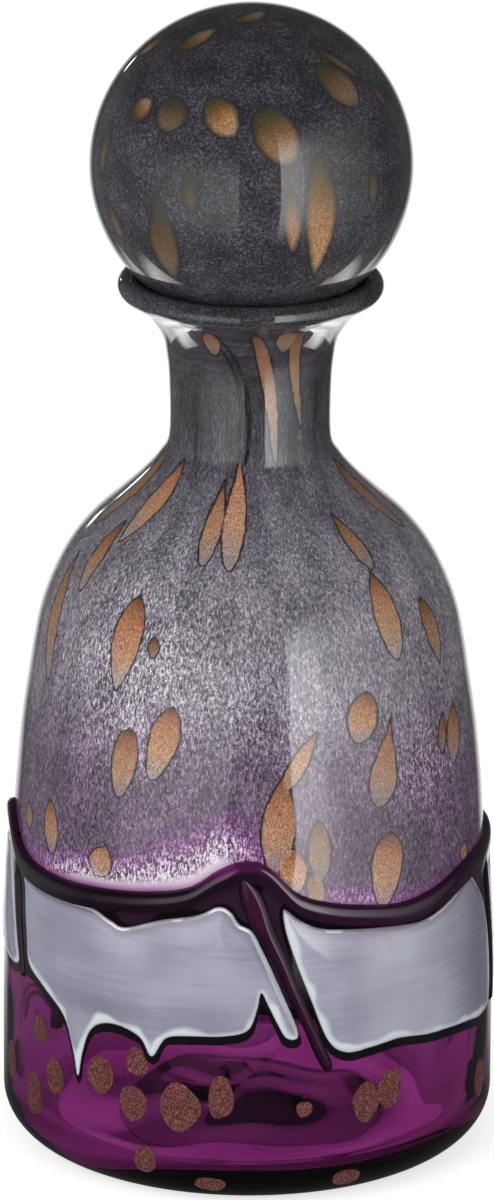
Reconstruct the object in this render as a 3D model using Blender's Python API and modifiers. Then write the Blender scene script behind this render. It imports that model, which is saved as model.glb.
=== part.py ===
"""Bottle vase of hand-blown cased glass, with a ball stopper that lifts out.

The vase is built from the pieces of glass that a maker gathers one after another: the
blown bottle, the thick amethyst cup that is laid over its lower third, the opal patches
that lie in pockets in that cup, the amethyst trails between the patches, and the stopper,
which is a blown ball on a stem. Metres, +Z up, the front is -Y, and the origin lies in
the middle of the surface that the vase stands on.
"""

import math

import bmesh
import bpy
from mathutils import Vector

# Driving sizes of the outside, in metres
BODY_RADIUS = 0.0708
BODY_HEIGHT = 0.185  # up to where the shoulder is steepest
SHOULDER_HEIGHT = 0.025  # from there to the foot of the neck
NECK_RADIUS = 0.0231
NECK_LENGTH = 0.016  # its straight part
FLARE_HEIGHT = 0.028  # from the straight neck to the middle of the rolled lip
LIP_RADIUS = 0.0378
LIP_ROLL_RADIUS = 0.0033
HEEL_WIDTH = 0.016
HEEL_HEIGHT = 0.014

# The blown bottle's own glass
WALL = 0.003
LOWER_WALL = 0.0026  # where the amethyst cup lies over it
FLOOR_THICKNESS = 0.0033
INNER_HEEL_RADIUS = 0.009

# The amethyst cup
CUP_HEIGHT = 0.094  # of its wavy edge, on average
CUP_WALL = 0.0036
BASE_THICKNESS = 0.0068
CUP_EDGE_RADIUS = 0.0016
EDGE_STEP = 0.0009  # how far the cup stands out over the bottle at its edge
PUNT_RADIUS = 0.036  # of the shallow hollow under the foot
PUNT_DEPTH = 0.0025

# The opal patches and the trails
POCKET_DEPTH = 0.0015
PATCH_RISE = 0.0004
PATCH_EDGE_RADIUS = 0.0006
TRAIL_HALF_WIDTH = 0.0019
TRAIL_HEIGHT = 0.0011
TRAIL_EDGE_RADIUS = 0.0006

# The stopper
BALL_RADIUS = 0.04565
BALL_WALL = 0.0032
SPIGOT_RADIUS = 0.0085
SPIGOT_LENGTH = 0.007  # how far the stem's spigot reaches up through the ball's wall
STEM_LENGTH = 0.038
STEM_CLEARANCE = 0.0045  # round the stem, inside the neck
STEM_TAPER = 0.0018
STEM_END_RADIUS = 0.004

# Fits
GAP = 0.0003
OVERRUN = 0.002  # how far the pockets' cutters reach out past the cup
MERGE_DISTANCE = 0.00001
SPLIT_TOLERANCE = 0.000001

# Counts
STEPS = 48
BALL_ROWS = 14
BALL_INNER_ROWS = 7
ARC_ROWS = 2
LIP_ROWS = 5

# The body's outline, each point a share of BODY_RADIUS and a share of BODY_HEIGHT
BODY_SHARES = (
    (1.0, 0.162),
    (0.999, 0.243),
    (0.994, 0.324),
    (0.984, 0.405),
    (0.974, 0.486),
    (0.960, 0.568),
    (0.935, 0.649),
    (0.902, 0.730),
    (0.869, 0.811),
    (0.837, 0.865),
    (0.781, 0.919),
    (0.717, 0.962),
    (0.633, 1.0),
)
# From the body's last point to the neck: shares of the radius left, and of SHOULDER_HEIGHT
SHOULDER_SHARES = ((0.64, 0.28), (0.35, 0.52), (0.12, 0.76), (0.0, 1.0))
# From the neck to the lip's roll: shares of the widening, and of FLARE_HEIGHT
FLARE_SHARES = ((0.0, 0.0), (0.08, 0.33), (0.19, 0.50), (0.42, 0.65), (0.72, 0.79))
# Rows of faces above the cup's edge, as shares of the way up to where its waves fade out
ABOVE_EDGE_SHARES = (0.0, 0.3, 0.65)
# The hollow under the foot, from its rim in: shares of PUNT_RADIUS and of PUNT_DEPTH
PUNT_SHARES = ((1.0, 0.0), (0.8, 0.7), (0.0, 1.0))
# Heights of the rows of faces on the cup's wall, as shares of CUP_HEIGHT
ROW_SHARES = (0.32, 0.48, 0.64, 0.80)
# The patches are split between those rows, so that no edge of theirs meets one of the cup's
PATCH_ROW_SHARES = (0.40, 0.56, 0.72, 0.88)
# Where the wavy edge's rise fades out, below and above it, as shares of CUP_HEIGHT
FADE_SHARES = (0.50, 1.45)

# The cup's wavy edge: degrees from the front, to the right, and shares of CUP_HEIGHT
EDGE_SHARES = (
    (-176, 0.980), (-160, 1.030), (-144, 1.090), (-128, 1.030), (-112, 0.985), (-98, 1.020),
    (-84, 1.080), (-73, 1.005), (-65, 0.972), (-51, 0.965), (-38, 0.975), (-24, 0.996),
    (-14, 1.026), (-7, 1.085), (-1, 1.114), (5, 1.096), (12, 1.010), (20, 0.972),
    (27, 0.953), (39, 0.930), (49, 0.938), (57, 0.957), (64, 0.975), (73, 0.985),
    (84, 0.985), (96, 0.990), (110, 0.972), (124, 0.965), (138, 1.010), (149, 1.085),
    (160, 1.025), (172, 0.980),
)  # fmt: skip

# The patches' outlines, in the same units as the edge, clockwise from the top left
FRONT_LEFT_PATCH_SHARES = (
    (-66, 0.940), (-60, 0.920), (-50, 0.910), (-40, 0.912), (-34, 0.885), (-30, 0.873),
    (-21, 0.915), (-12, 0.942), (-7, 0.972), (-4, 0.957), (-2, 0.920), (1, 0.898),
    (3, 0.850), (6, 0.765), (9, 0.672), (11.5, 0.590), (11.5, 0.555), (9, 0.560),
    (7, 0.605), (5, 0.660), (3.2, 0.705), (2.2, 0.650), (0, 0.585), (-6, 0.565),
    (-13, 0.560), (-19, 0.545), (-22.5, 0.480), (-25.5, 0.535), (-31, 0.560),
    (-36, 0.552), (-39.5, 0.515), (-41.6, 0.440), (-43, 0.360), (-44.6, 0.440),
    (-48, 0.540), (-56, 0.602), (-62.5, 0.645), (-64.5, 0.730), (-66, 0.830),
)  # fmt: skip
FRONT_RIGHT_PATCH_SHARES = (
    (8.5, 0.965), (12, 0.930), (17, 0.895), (24, 0.877), (37, 0.840), (45, 0.826),
    (52, 0.846), (59, 0.886), (64, 0.925), (70, 0.877), (75.5, 0.800), (78.5, 0.690),
    (79.5, 0.560), (78, 0.465), (72, 0.445), (64, 0.462), (55, 0.478), (47, 0.488),
    (38, 0.505), (30, 0.498), (23.5, 0.495), (19, 0.540), (15, 0.670), (11.3, 0.800),
    (9, 0.895),
)  # fmt: skip
RIGHT_PATCH_SHARES = (
    (84.5, 0.860), (92, 0.920), (104, 0.900), (118, 0.885), (132, 0.905), (142, 0.925),
    (145.5, 0.850), (146.5, 0.700), (145, 0.560), (139, 0.505), (128, 0.530),
    (121, 0.500), (118, 0.400), (115, 0.500), (106, 0.525), (95, 0.500), (87.5, 0.475),
    (85, 0.600), (85, 0.720),
)  # fmt: skip
BACK_PATCH_SHARES = (
    (152.5, 0.895), (160, 0.930), (172, 0.890), (186, 0.870), (200, 0.910),
    (209, 0.935), (212, 0.840), (211.5, 0.680), (212, 0.560), (205, 0.505),
    (196, 0.485), (192, 0.395), (188.5, 0.490), (178, 0.530), (166, 0.505),
    (156.5, 0.530), (153, 0.620), (152, 0.760),
)  # fmt: skip
LEFT_PATCH_SHARES = (
    (-140, 0.915), (-128, 0.950), (-114, 0.905), (-100, 0.930), (-88, 0.965),
    (-80, 0.955), (-76.5, 0.890), (-74, 0.800), (-71, 0.700), (-69, 0.625),
    (-75, 0.605), (-84, 0.625), (-96, 0.570), (-102.5, 0.520), (-106, 0.410),
    (-109.5, 0.515), (-120, 0.550), (-132, 0.525), (-139.5, 0.580), (-141.5, 0.750),
)  # fmt: skip

# The trails: degrees, shares of CUP_HEIGHT, and half widths as shares of TRAIL_HALF_WIDTH
FRONT_TRAIL_SHARES = (
    (-0.5, 1.070, 2.50), (1.2, 1.000, 2.40), (3.6, 0.915, 1.85), (7.5, 0.810, 1.25),
    (11.2, 0.690, 1.05), (14.6, 0.585, 0.95), (17.2, 0.505, 1.00), (18.8, 0.455, 0.80),
)  # fmt: skip
RIGHT_TRAIL_SHARES = (
    (77.5, 0.940, 0.90), (80.3, 0.820, 0.75), (81.8, 0.690, 0.70), (82.3, 0.560, 0.70),
    (82.2, 0.455, 0.60),
)  # fmt: skip
BACK_RIGHT_TRAIL_SHARES = (
    (148.5, 1.000, 1.10), (148.7, 0.880, 0.80), (149.3, 0.720, 0.70), (148.8, 0.580, 0.80),
    (147.5, 0.480, 0.60),
)  # fmt: skip
BACK_LEFT_TRAIL_SHARES = (
    (-144.3, 1.010, 1.10), (-144.4, 0.880, 0.80), (-145.0, 0.720, 0.75),
    (-143.8, 0.560, 0.75), (-142.0, 0.470, 0.60),
)  # fmt: skip
LEFT_TRAIL_SHARES = (
    (-74.5, 1.000, 0.90), (-71.3, 0.895, 0.75), (-70.0, 0.800, 0.70), (-67.6, 0.690, 0.70),
    (-65.9, 0.600, 0.60),
)  # fmt: skip

PATCHES = {
    "opal_patch_front_left": FRONT_LEFT_PATCH_SHARES,
    "opal_patch_front_right": FRONT_RIGHT_PATCH_SHARES,
    "opal_patch_right": RIGHT_PATCH_SHARES,
    "opal_patch_back": BACK_PATCH_SHARES,
    "opal_patch_left": LEFT_PATCH_SHARES,
}
TRAILS = {
    "amethyst_trail_front": FRONT_TRAIL_SHARES,
    "amethyst_trail_right": RIGHT_TRAIL_SHARES,
    "amethyst_trail_back_right": BACK_RIGHT_TRAIL_SHARES,
    "amethyst_trail_back_left": BACK_LEFT_TRAIL_SHARES,
    "amethyst_trail_left": LEFT_TRAIL_SHARES,
}

# Heights that follow from the driving sizes
NECK_BASE = BODY_HEIGHT + SHOULDER_HEIGHT
NECK_TOP = NECK_BASE + NECK_LENGTH
LIP_CENTRE_HEIGHT = NECK_TOP + FLARE_HEIGHT
LIP_CENTRE_RADIUS = LIP_RADIUS - LIP_ROLL_RADIUS
NECK_BORE = NECK_RADIUS - WALL
STEM_RADIUS = NECK_BORE - STEM_CLEARANCE
# The ball rests on the roll all round, with the fit's gap between them
BALL_CENTRE = LIP_CENTRE_HEIGHT + math.sqrt(
    (BALL_RADIUS + LIP_ROLL_RADIUS + GAP) ** 2 - LIP_CENTRE_RADIUS**2
)


def smooth_line(points, pieces, closed=False):
    """A Catmull-Rom curve through the points, with so many pieces to each span."""
    knots = [Vector(point) for point in points]
    count = len(knots)
    spans = count if closed else count - 1
    line = []
    for i in range(spans):
        if closed:
            a, b, c, d = (knots[(i + k) % count] for k in (-1, 0, 1, 2))
        else:
            b, c = knots[i], knots[i + 1]
            a = knots[i - 1] if i > 0 else b + (b - c)
            d = knots[i + 2] if i + 2 < count else c + (c - b)
        for step in range(pieces):
            t = step / pieces
            line.append(
                b
                + (c - a) * (t / 2)
                + (a * 2 - b * 5 + c * 4 - d) * (t * t / 2)
                + (b * 3 - a - c * 3 + d) * (t**3 / 2)
            )
    if not closed:
        line.append(knots[-1])
    return line


def body_knots():
    """The body's outline above the heel, as radius and height."""
    knots = [Vector((BODY_RADIUS, HEEL_HEIGHT))]
    knots += [Vector((r * BODY_RADIUS, h * BODY_HEIGHT)) for r, h in BODY_SHARES]
    last = knots[-1]
    knots += [
        Vector((NECK_RADIUS + r * (last.x - NECK_RADIUS), last.y + h * SHOULDER_HEIGHT))
        for r, h in SHOULDER_SHARES
    ]
    knots.append(Vector((NECK_RADIUS, NECK_TOP)))
    return knots


BODY_LINE = smooth_line(body_knots(), 8)
EDGE_LINE = smooth_line(
    [(math.radians(a), h * CUP_HEIGHT) for a, h in EDGE_SHARES[-2:]]
    + [(math.radians(a + 360), h * CUP_HEIGHT) for a, h in EDGE_SHARES]
    + [(math.radians(a + 720), h * CUP_HEIGHT) for a, h in EDGE_SHARES[:2]],
    6,
)


def read_line(line, value, known, wanted):
    """The wanted coordinate of a line where its known coordinate, which rises, is value."""
    for a, b in zip(line, line[1:]):
        if a[known] <= value <= b[known] and b[known] > a[known]:
            return a[wanted] + (b[wanted] - a[wanted]) * (value - a[known]) / (b[known] - a[known])
    return line[0][wanted] if value < line[0][known] else line[-1][wanted]


def body_radius(height):
    """Radius of the vase's outside at a height, with its elliptical heel."""
    if height >= HEEL_HEIGHT:
        return read_line(BODY_LINE, height, 1, 0)
    drop = min(1 - height / HEEL_HEIGHT, 1)
    return BODY_RADIUS - HEEL_WIDTH * (1 - math.sqrt(1 - drop**2))


def edge_height(angle):
    """Height of the cup's wavy edge at an angle from the front, to the right."""
    return read_line(EDGE_LINE, (angle - math.pi) % (2 * math.pi) + math.pi, 0, 1)


def fade(height):
    """How much of the edge's rise a height takes: all of it at the edge, none far away."""
    low, high = (share * CUP_HEIGHT for share in FADE_SHARES)
    full_from = CUP_HEIGHT - 2 * CUP_EDGE_RADIUS
    full_to = CUP_HEIGHT + GAP
    if height < full_from:
        t = (height - low) / (full_from - low)
    else:
        t = (high - height) / (high - full_to)
    t = min(max(t, 0), 1)
    return t * t * (3 - 2 * t)


def arc(centre, radius, start, end, rows):
    """Points on an arc in the profile's plane, from one angle to another in degrees."""
    angles = [math.radians(start + (end - start) * i / rows) for i in range(rows + 1)]
    return [centre + Vector((math.cos(a), math.sin(a))) * radius for a in angles]


def left_of(along):
    """The unit direction to the left of a direction."""
    return Vector((-along.y, along.x)).normalized()


def set_in(line, depth):
    """The same line moved to its left by depth, which is inwards for a line that runs up."""
    last = len(line) - 1
    return [
        point + left_of(line[min(i + 1, last)] - line[max(i - 1, 0)]) * depth
        for i, point in enumerate(line)
    ]


def glass(name, colour, roughness, transmission):
    """A glass of one colour."""
    material = bpy.data.materials.new(name)
    material.use_nodes = True
    shader = material.node_tree.nodes["Principled BSDF"]
    shader.inputs["Base Color"].default_value = (*colour, 1)
    shader.inputs["Roughness"].default_value = roughness
    shader.inputs["Metallic"].default_value = 0
    shader.inputs["Transmission Weight"].default_value = transmission
    shader.inputs["IOR"].default_value = 1.5
    material.diffuse_color = (*colour, 1)
    return material


def evaluated_mesh(obj):
    """The object's mesh with its modifiers applied."""
    graph = bpy.context.evaluated_depsgraph_get()
    return bpy.data.meshes.new_from_object(obj.evaluated_get(graph))


def apply_modifiers(obj):
    """Turns the object's modifiers into mesh."""
    mesh = evaluated_mesh(obj)
    old = obj.data
    obj.modifiers.clear()
    obj.data = mesh
    bpy.data.meshes.remove(old)


def turned(name, outline, collection, material):
    """A closed turned solid: its outline starts and ends on the axis, outer side running down."""
    mesh = bpy.data.meshes.new(name)
    points = [(p[0], 0, p[1]) for p in outline]
    mesh.from_pydata(points, [(i, i + 1) for i in range(len(points) - 1)], [])
    obj = bpy.data.objects.new(name, mesh)
    collection.objects.link(obj)
    screw = obj.modifiers.new("turn", "SCREW")
    screw.steps = STEPS
    screw.render_steps = STEPS
    screw.use_merge_vertices = True
    screw.merge_threshold = MERGE_DISTANCE
    apply_modifiers(obj)
    finish(obj, material)
    return obj


def finish(obj, material):
    """Gives the object its one material, smooth faces and sharp corners."""
    obj.data.materials.clear()
    obj.data.materials.append(material)
    obj.data.shade_smooth()
    obj.data.set_sharp_from_angle(angle=math.radians(40))


def follow_edge(obj):
    """Raises and lowers a turned wall with the cup's wavy edge, at its own depth in the wall."""
    for vertex in obj.data.vertices:
        height = vertex.co.z
        share = fade(height)
        radius = math.hypot(vertex.co.x, vertex.co.y)
        if share == 0 or radius < BODY_RADIUS / 2:
            continue
        angle = math.atan2(vertex.co.x, -vertex.co.y)
        raised = height + (edge_height(angle) - CUP_HEIGHT) * share
        radius += body_radius(raised) - body_radius(height)
        vertex.co = (radius * math.sin(angle), -radius * math.cos(angle), raised)


def flat_outline(points, growth):
    """An outline unrolled from the vase, smoothed, and grown by a width all round."""
    corners = [(math.radians(a) * BODY_RADIUS, h * CUP_HEIGHT) for a, h in points]
    line = smooth_line(corners, 2, closed=True)
    return [
        point + left_of(line[(i + 1) % len(line)] - line[i - 1]) * growth
        for i, point in enumerate(line)
    ]


def trail_outline(points):
    """The outline of a trail, from its middle line and half widths."""
    left = []
    right = []
    for angle, height, half in points:
        turn = math.degrees(half * TRAIL_HALF_WIDTH / BODY_RADIUS)
        left.append((angle - turn, height))
        right.append((angle + turn, height))
    ends = []
    for (angle, height, half), way in ((points[0], 1), (points[-1], -1)):
        ends.append((angle, height + way * half * TRAIL_HALF_WIDTH / CUP_HEIGHT))
    return left[::-1] + ends[:1] + right + ends[1:]


def extruded(shape, faces, height):
    """Extrudes faces to a height above the flat plane. Returns the new faces."""
    grown = bmesh.ops.extrude_face_region(shape, geom=faces)["geom"]
    for vertex in (item for item in grown if isinstance(item, bmesh.types.BMVert)):
        vertex.co.z = height
    return [item for item in grown if isinstance(item, bmesh.types.BMFace)]


def laid_on(name, points, growth, depths, edge, between_steps, collection, material):
    """A flat piece wrapped round the body between two depths on it, with its outer rim eased.

    It is split into facets along the cup's own steps, or halfway between them.
    """
    low, high = depths
    shape = bmesh.new()
    outline = flat_outline(points, growth)
    face = shape.faces.new([shape.verts.new((p.x, p.y, low)) for p in outline])
    rim = extruded(shape, [face], high - edge)
    if edge > 0:
        top = extruded(shape, rim, high)
        bmesh.ops.delete(shape, geom=rim, context="FACES_ONLY")
        for corner, at in zip(top[0].verts, flat_outline(points, growth - edge)):
            corner.co = (at.x, at.y, high)
    left = min(v.co.x for v in shape.verts)
    right = max(v.co.x for v in shape.verts)
    step = 2 * math.pi * BODY_RADIUS / STEPS
    shift = 0.5 if between_steps else 0
    for i in range(math.floor(left / step), math.ceil(right / step) + 1):
        split(shape, ((i + shift) * step, 0, 0), (1, 0, 0))
    for share in PATCH_ROW_SHARES if between_steps else ROW_SHARES:
        split(shape, (0, share * CUP_HEIGHT, 0), (0, 1, 0))
    for vertex in shape.verts:
        angle = vertex.co.x / BODY_RADIUS
        radius = body_radius(vertex.co.y) + vertex.co.z
        vertex.co = (radius * math.sin(angle), -radius * math.cos(angle), vertex.co.y)
    if shape.calc_volume(signed=True) < 0:
        bmesh.ops.reverse_faces(shape, faces=shape.faces)
    mesh = bpy.data.meshes.new(name)
    shape.to_mesh(mesh)
    shape.free()
    obj = bpy.data.objects.new(name, mesh)
    collection.objects.link(obj)
    finish(obj, material)
    return obj


def split(shape, place, across):
    """Splits every face of a shape along a plane."""
    everything = shape.verts[:] + shape.edges[:] + shape.faces[:]
    bmesh.ops.bisect_plane(
        shape,
        geom=everything,
        dist=SPLIT_TOLERANCE,
        plane_co=Vector(place),
        plane_no=Vector(across),
    )


def flare_line():
    """The neck's outer line from its foot up to the lip's roll."""
    width = LIP_CENTRE_RADIUS - NECK_RADIUS
    line = [Vector((NECK_RADIUS, NECK_BASE))]
    line += [
        Vector((NECK_RADIUS + r * width, NECK_TOP + h * FLARE_HEIGHT)) for r, h in FLARE_SHARES
    ]
    return line


def build_bottle(collection, material):
    """The blown bottle: lip, neck, shoulder and body, stepped in where the cup lies over it."""
    under_cup = CUP_WALL + GAP
    step_top = CUP_HEIGHT + GAP
    floor = BASE_THICKNESS + GAP + FLOOR_THICKNESS
    inner_depth = under_cup + LOWER_WALL
    waves_end = FADE_SHARES[1] * CUP_HEIGHT
    upper = [knot for knot in body_knots() if knot.y > waves_end]
    middle_heights = [step_top + share * (waves_end - step_top) for share in ABOVE_EDGE_SHARES]

    flare = flare_line()
    outside_up = [Vector((body_radius(h) - EDGE_STEP * fade(h), h)) for h in middle_heights]
    outside_up += upper[:-1] + flare[1:]
    inside_up = set_in(upper[:-1] + flare[1:], WALL)
    # The swelling body and the wide mouth need only every second point inside
    inside_up = inside_up[:4:2] + inside_up[4:9] + inside_up[9::2]
    waist = middle_heights[1]
    lower_inside = [
        Vector((body_radius(h) - inner_depth, h)) for h in (ROW_SHARES[1] * CUP_HEIGHT, CUP_HEIGHT)
    ]
    corner = Vector((body_radius(ROW_SHARES[0] * CUP_HEIGHT) - inner_depth, floor))
    corner_centre = corner + Vector((-INNER_HEEL_RADIUS, INNER_HEEL_RADIUS))
    outline = [Vector((0, floor))]
    outline += arc(corner_centre, INNER_HEEL_RADIUS, -90, 0, ARC_ROWS)
    outline += lower_inside
    outline.append(Vector((body_radius(waist) - (inner_depth + WALL) / 2, waist)))
    outline += inside_up
    lip_centre = Vector((LIP_CENTRE_RADIUS, LIP_CENTRE_HEIGHT))
    outline += arc(lip_centre, LIP_ROLL_RADIUS, 190, -80, LIP_ROWS)
    outline += outside_up[::-1]
    outline.append(Vector((body_radius(step_top) - under_cup, step_top)))
    outline += [
        Vector((body_radius(share * CUP_HEIGHT) - under_cup, share * CUP_HEIGHT))
        for share in ROW_SHARES[::-1]
    ]
    outer_radius = INNER_HEEL_RADIUS + LOWER_WALL
    foot = Vector((body_radius(ROW_SHARES[0] * CUP_HEIGHT) - under_cup, BASE_THICKNESS + GAP))
    outline += arc(foot + Vector((-outer_radius, outer_radius)), outer_radius, 0, -90, ARC_ROWS)
    outline.append(Vector((0, foot.y)))
    bottle = turned("blown_bottle", outline, collection, material)
    follow_edge(bottle)
    return bottle


def build_cup(collection, material):
    """The amethyst cup over the lower third: thick base, rounded heel and wavy, rounded edge."""
    corner_radius = INNER_HEEL_RADIUS + LOWER_WALL + GAP
    corner = Vector((body_radius(ROW_SHARES[0] * CUP_HEIGHT) - CUP_WALL, BASE_THICKNESS))
    rows = [share * CUP_HEIGHT for share in ROW_SHARES]
    outline = [Vector((0, BASE_THICKNESS))]
    outline += arc(
        corner + Vector((-corner_radius, corner_radius)), corner_radius, -90, 0, ARC_ROWS
    )
    outline += [Vector((body_radius(h) - CUP_WALL, h)) for h in rows + [CUP_HEIGHT]]
    edge = Vector((body_radius(CUP_HEIGHT) - CUP_EDGE_RADIUS, CUP_HEIGHT - CUP_EDGE_RADIUS))
    outline += arc(edge, CUP_EDGE_RADIUS, 90, 0, ARC_ROWS)
    outline += [Vector((body_radius(h), h)) for h in rows[::-1]]
    heel = [math.radians(90 * i / (2 * ARC_ROWS)) for i in range(2 * ARC_ROWS + 1)]
    outline += [
        Vector(
            (
                BODY_RADIUS - HEEL_WIDTH * (1 - math.cos(a)),
                HEEL_HEIGHT * (1 - math.sin(a)),
            )
        )
        for a in heel
    ]
    outline += [Vector((r * PUNT_RADIUS, h * PUNT_DEPTH)) for r, h in PUNT_SHARES]
    cup = turned("amethyst_cup", outline, collection, material)
    follow_edge(cup)
    return cup


def build_patches(collection, cutters, material):
    """The opal patches, and for each a cutter that leaves the gap round it in the cup."""
    pockets = []
    for name, points in PATCHES.items():
        depths = (-POCKET_DEPTH, PATCH_RISE)
        laid_on(name, points, 0, depths, PATCH_EDGE_RADIUS, True, collection, material)
        depths = (-POCKET_DEPTH - GAP, OVERRUN)
        pocket = laid_on(name + "_pocket", points, GAP, depths, 0, True, cutters, material)
        pocket.hide_render = True
        pocket.display_type = "WIRE"
        pockets.append(pocket)
    return pockets


def cut_pockets(cup, pockets):
    """Sinks a pocket into the cup's wall for each patch."""
    for pocket in pockets:
        cut = cup.modifiers.new(pocket.name, "BOOLEAN")
        cut.operation = "DIFFERENCE"
        cut.solver = "EXACT"
        cut.object = pocket


def build_trails(collection, material):
    """The amethyst trails that stand up between the patches."""
    depths = (GAP, GAP + TRAIL_HEIGHT)
    for name, points in TRAILS.items():
        outline = trail_outline(points)
        laid_on(name, outline, 0, depths, TRAIL_EDGE_RADIUS, False, collection, material)


def build_ball(collection, material):
    """The stopper's blown ball, open underneath where the stem's spigot enters."""
    hole = SPIGOT_RADIUS + GAP
    inner = BALL_RADIUS - BALL_WALL
    centre = Vector((0, BALL_CENTRE))
    outer_end = math.degrees(math.acos(hole / BALL_RADIUS))
    inner_end = math.degrees(math.acos(hole / inner))
    outline = arc(centre, BALL_RADIUS, 90, -outer_end, BALL_ROWS)
    outline += arc(centre, inner, -inner_end, 90, BALL_INNER_ROWS)
    outline[0].x = 0
    outline[-1].x = 0
    return turned("stopper_ball", outline, collection, material)


def build_stem(collection, material):
    """The stopper's stem: a spigot in the ball, a seat against it and a tapered plug below."""
    seat_radius = BALL_RADIUS + GAP
    spigot_foot = BALL_CENTRE - math.sqrt(seat_radius**2 - SPIGOT_RADIUS**2)
    shoulder = BALL_CENTRE - math.sqrt(seat_radius**2 - STEM_RADIUS**2)
    bottom = spigot_foot - STEM_LENGTH
    end_radius = STEM_RADIUS - STEM_TAPER
    outline = [
        Vector((0, spigot_foot + SPIGOT_LENGTH)),
        Vector((SPIGOT_RADIUS, spigot_foot + SPIGOT_LENGTH)),
        Vector((SPIGOT_RADIUS, spigot_foot)),
        Vector((STEM_RADIUS, shoulder)),
    ]
    end_centre = Vector((end_radius - STEM_END_RADIUS, bottom + STEM_END_RADIUS))
    outline += arc(end_centre, STEM_END_RADIUS, 0, -90, ARC_ROWS)
    outline.append(Vector((0, bottom)))
    return turned("stopper_stem", outline, collection, material)


def main():
    """Builds the vase at rest, with its stopper in."""
    for obj in list(bpy.data.objects):
        bpy.data.objects.remove(obj)
    vase = bpy.data.collections.new("bottle_vase")
    cutters = bpy.data.collections.new("bottle_vase_cutters")
    bpy.context.scene.collection.children.link(vase)
    bpy.context.scene.collection.children.link(cutters)

    smoke = glass("smoke_frit_glass", (0.075, 0.068, 0.075), 0.08, 0.0)
    amethyst = glass("amethyst_glass", (0.17, 0.02, 0.18), 0.04, 0.4)
    opal = glass("opal_glass", (0.42, 0.42, 0.48), 0.12, 0.0)

    build_bottle(vase, smoke)
    cup = build_cup(vase, amethyst)
    pockets = build_patches(vase, cutters, opal)
    cut_pockets(cup, pockets)
    build_trails(vase, amethyst)

    lift = bpy.data.objects.new("stopper_lift", None)
    lift.location = (0, 0, BALL_CENTRE)
    vase.objects.link(lift)
    bpy.context.view_layer.update()
    for piece in (build_ball(vase, smoke), build_stem(vase, smoke)):
        piece.parent = lift
        piece.matrix_parent_inverse = lift.matrix_world.inverted()


main()
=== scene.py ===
"""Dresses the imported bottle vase: smoke-grey frit glass over a cup of clear amethyst glass.

Every piece follows one outline of the vessel. The blown bottle, the cup, the ball and the stem
are turned from it, the opal patches and the trails are flat forms that are softened and then
wrapped round it, and the copper flecks are either drawn in the frit glass or lie in the cup.
"""

import logging
import math
from collections.abc import Callable, Sequence
from dataclasses import dataclass
from enum import Enum
from functools import partial

import bmesh
import bpy
import numpy as np
from mathutils import Matrix, Vector


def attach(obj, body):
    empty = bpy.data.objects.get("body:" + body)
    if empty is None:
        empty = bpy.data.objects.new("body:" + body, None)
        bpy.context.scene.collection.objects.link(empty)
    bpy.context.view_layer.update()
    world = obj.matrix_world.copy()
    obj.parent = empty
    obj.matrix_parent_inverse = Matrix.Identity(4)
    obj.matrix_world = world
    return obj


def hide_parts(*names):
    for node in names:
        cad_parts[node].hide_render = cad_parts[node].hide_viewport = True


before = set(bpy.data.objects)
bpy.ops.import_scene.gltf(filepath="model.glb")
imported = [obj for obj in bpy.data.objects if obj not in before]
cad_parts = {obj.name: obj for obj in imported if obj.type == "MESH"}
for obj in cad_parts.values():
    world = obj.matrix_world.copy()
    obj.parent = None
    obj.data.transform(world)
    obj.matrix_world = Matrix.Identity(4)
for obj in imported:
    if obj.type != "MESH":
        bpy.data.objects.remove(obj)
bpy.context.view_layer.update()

LOG = logging.getLogger("bottle_vase")
MM = 0.001
WHITE = "#FFFFFF"
GLASS_IOR = 1.5
# Cased glass looks like a matt colour under a clear, glossy coat.
CASED = {"Roughness": 0.5, "IOR": GLASS_IOR}

AddNode = Callable[..., bpy.types.Node]


class Body(Enum):
    """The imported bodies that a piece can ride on."""

    VASE = "vase"
    STOPPER = "stopper"


class Slot(Enum):
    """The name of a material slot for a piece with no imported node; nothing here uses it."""

    SMOKE = "smoke_frit_glass"


class Ends(Enum):
    """How a copper fleck closes at its top and its bottom: powers of the sine of its width."""

    ROUND = (0.5, 0.5)
    POINTED = (0.85, 0.85)
    DROP = (0.9, 0.5)


def linear(colour: str) -> tuple[float, float, float, float]:
    """Turns an sRGB colour into linear light.

    Args:
        colour: Six hex digits after a hash.

    Returns:
        Red, green, blue and an alpha of 1.
    """
    parts = [int(colour[i : i + 2], 16) / 255 for i in (1, 3, 5)]
    light = [p / 12.92 if p <= 0.04045 else ((p + 0.055) / 1.055) ** 2.4 for p in parts]
    return (*light, 1.0)


def add(
    tree: bpy.types.NodeTree,
    kind: str,
    inputs: Sequence | dict = (),
    stops: Sequence[tuple[float, str]] = (),
    **settings: object,
) -> bpy.types.Node:
    """Adds a shader node with its settings, values and links.

    Args:
        tree: The node tree that gets the node.
        kind: The node's type, without the words ShaderNode.
        inputs: What goes into its inputs, in their order or by their names or numbers. It is a
            value, a hex colour, a socket, or a node, which gives its first output in use.
        stops: Places and hex colours for a colour ramp.
        settings: The node's own properties.

    Returns:
        The new node.
    """
    node = tree.nodes.new("ShaderNode" + kind)
    for name, value in settings.items():
        setattr(node, name, value)
    for key, value in inputs.items() if isinstance(inputs, dict) else enumerate(inputs):
        if isinstance(value, bpy.types.Node):
            value = next(output for output in value.outputs if output.enabled)
        if isinstance(value, bpy.types.NodeSocket):
            tree.links.new(value, node.inputs[key])
        else:
            node.inputs[key].default_value = linear(value) if isinstance(value, str) else value
    for i, (place_at, colour) in enumerate(stops):
        ramp = node.color_ramp.elements
        stop = ramp[i] if i < len(ramp) else ramp.new(place_at)
        stop.position = place_at
        stop.color = linear(colour)
    return node


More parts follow.
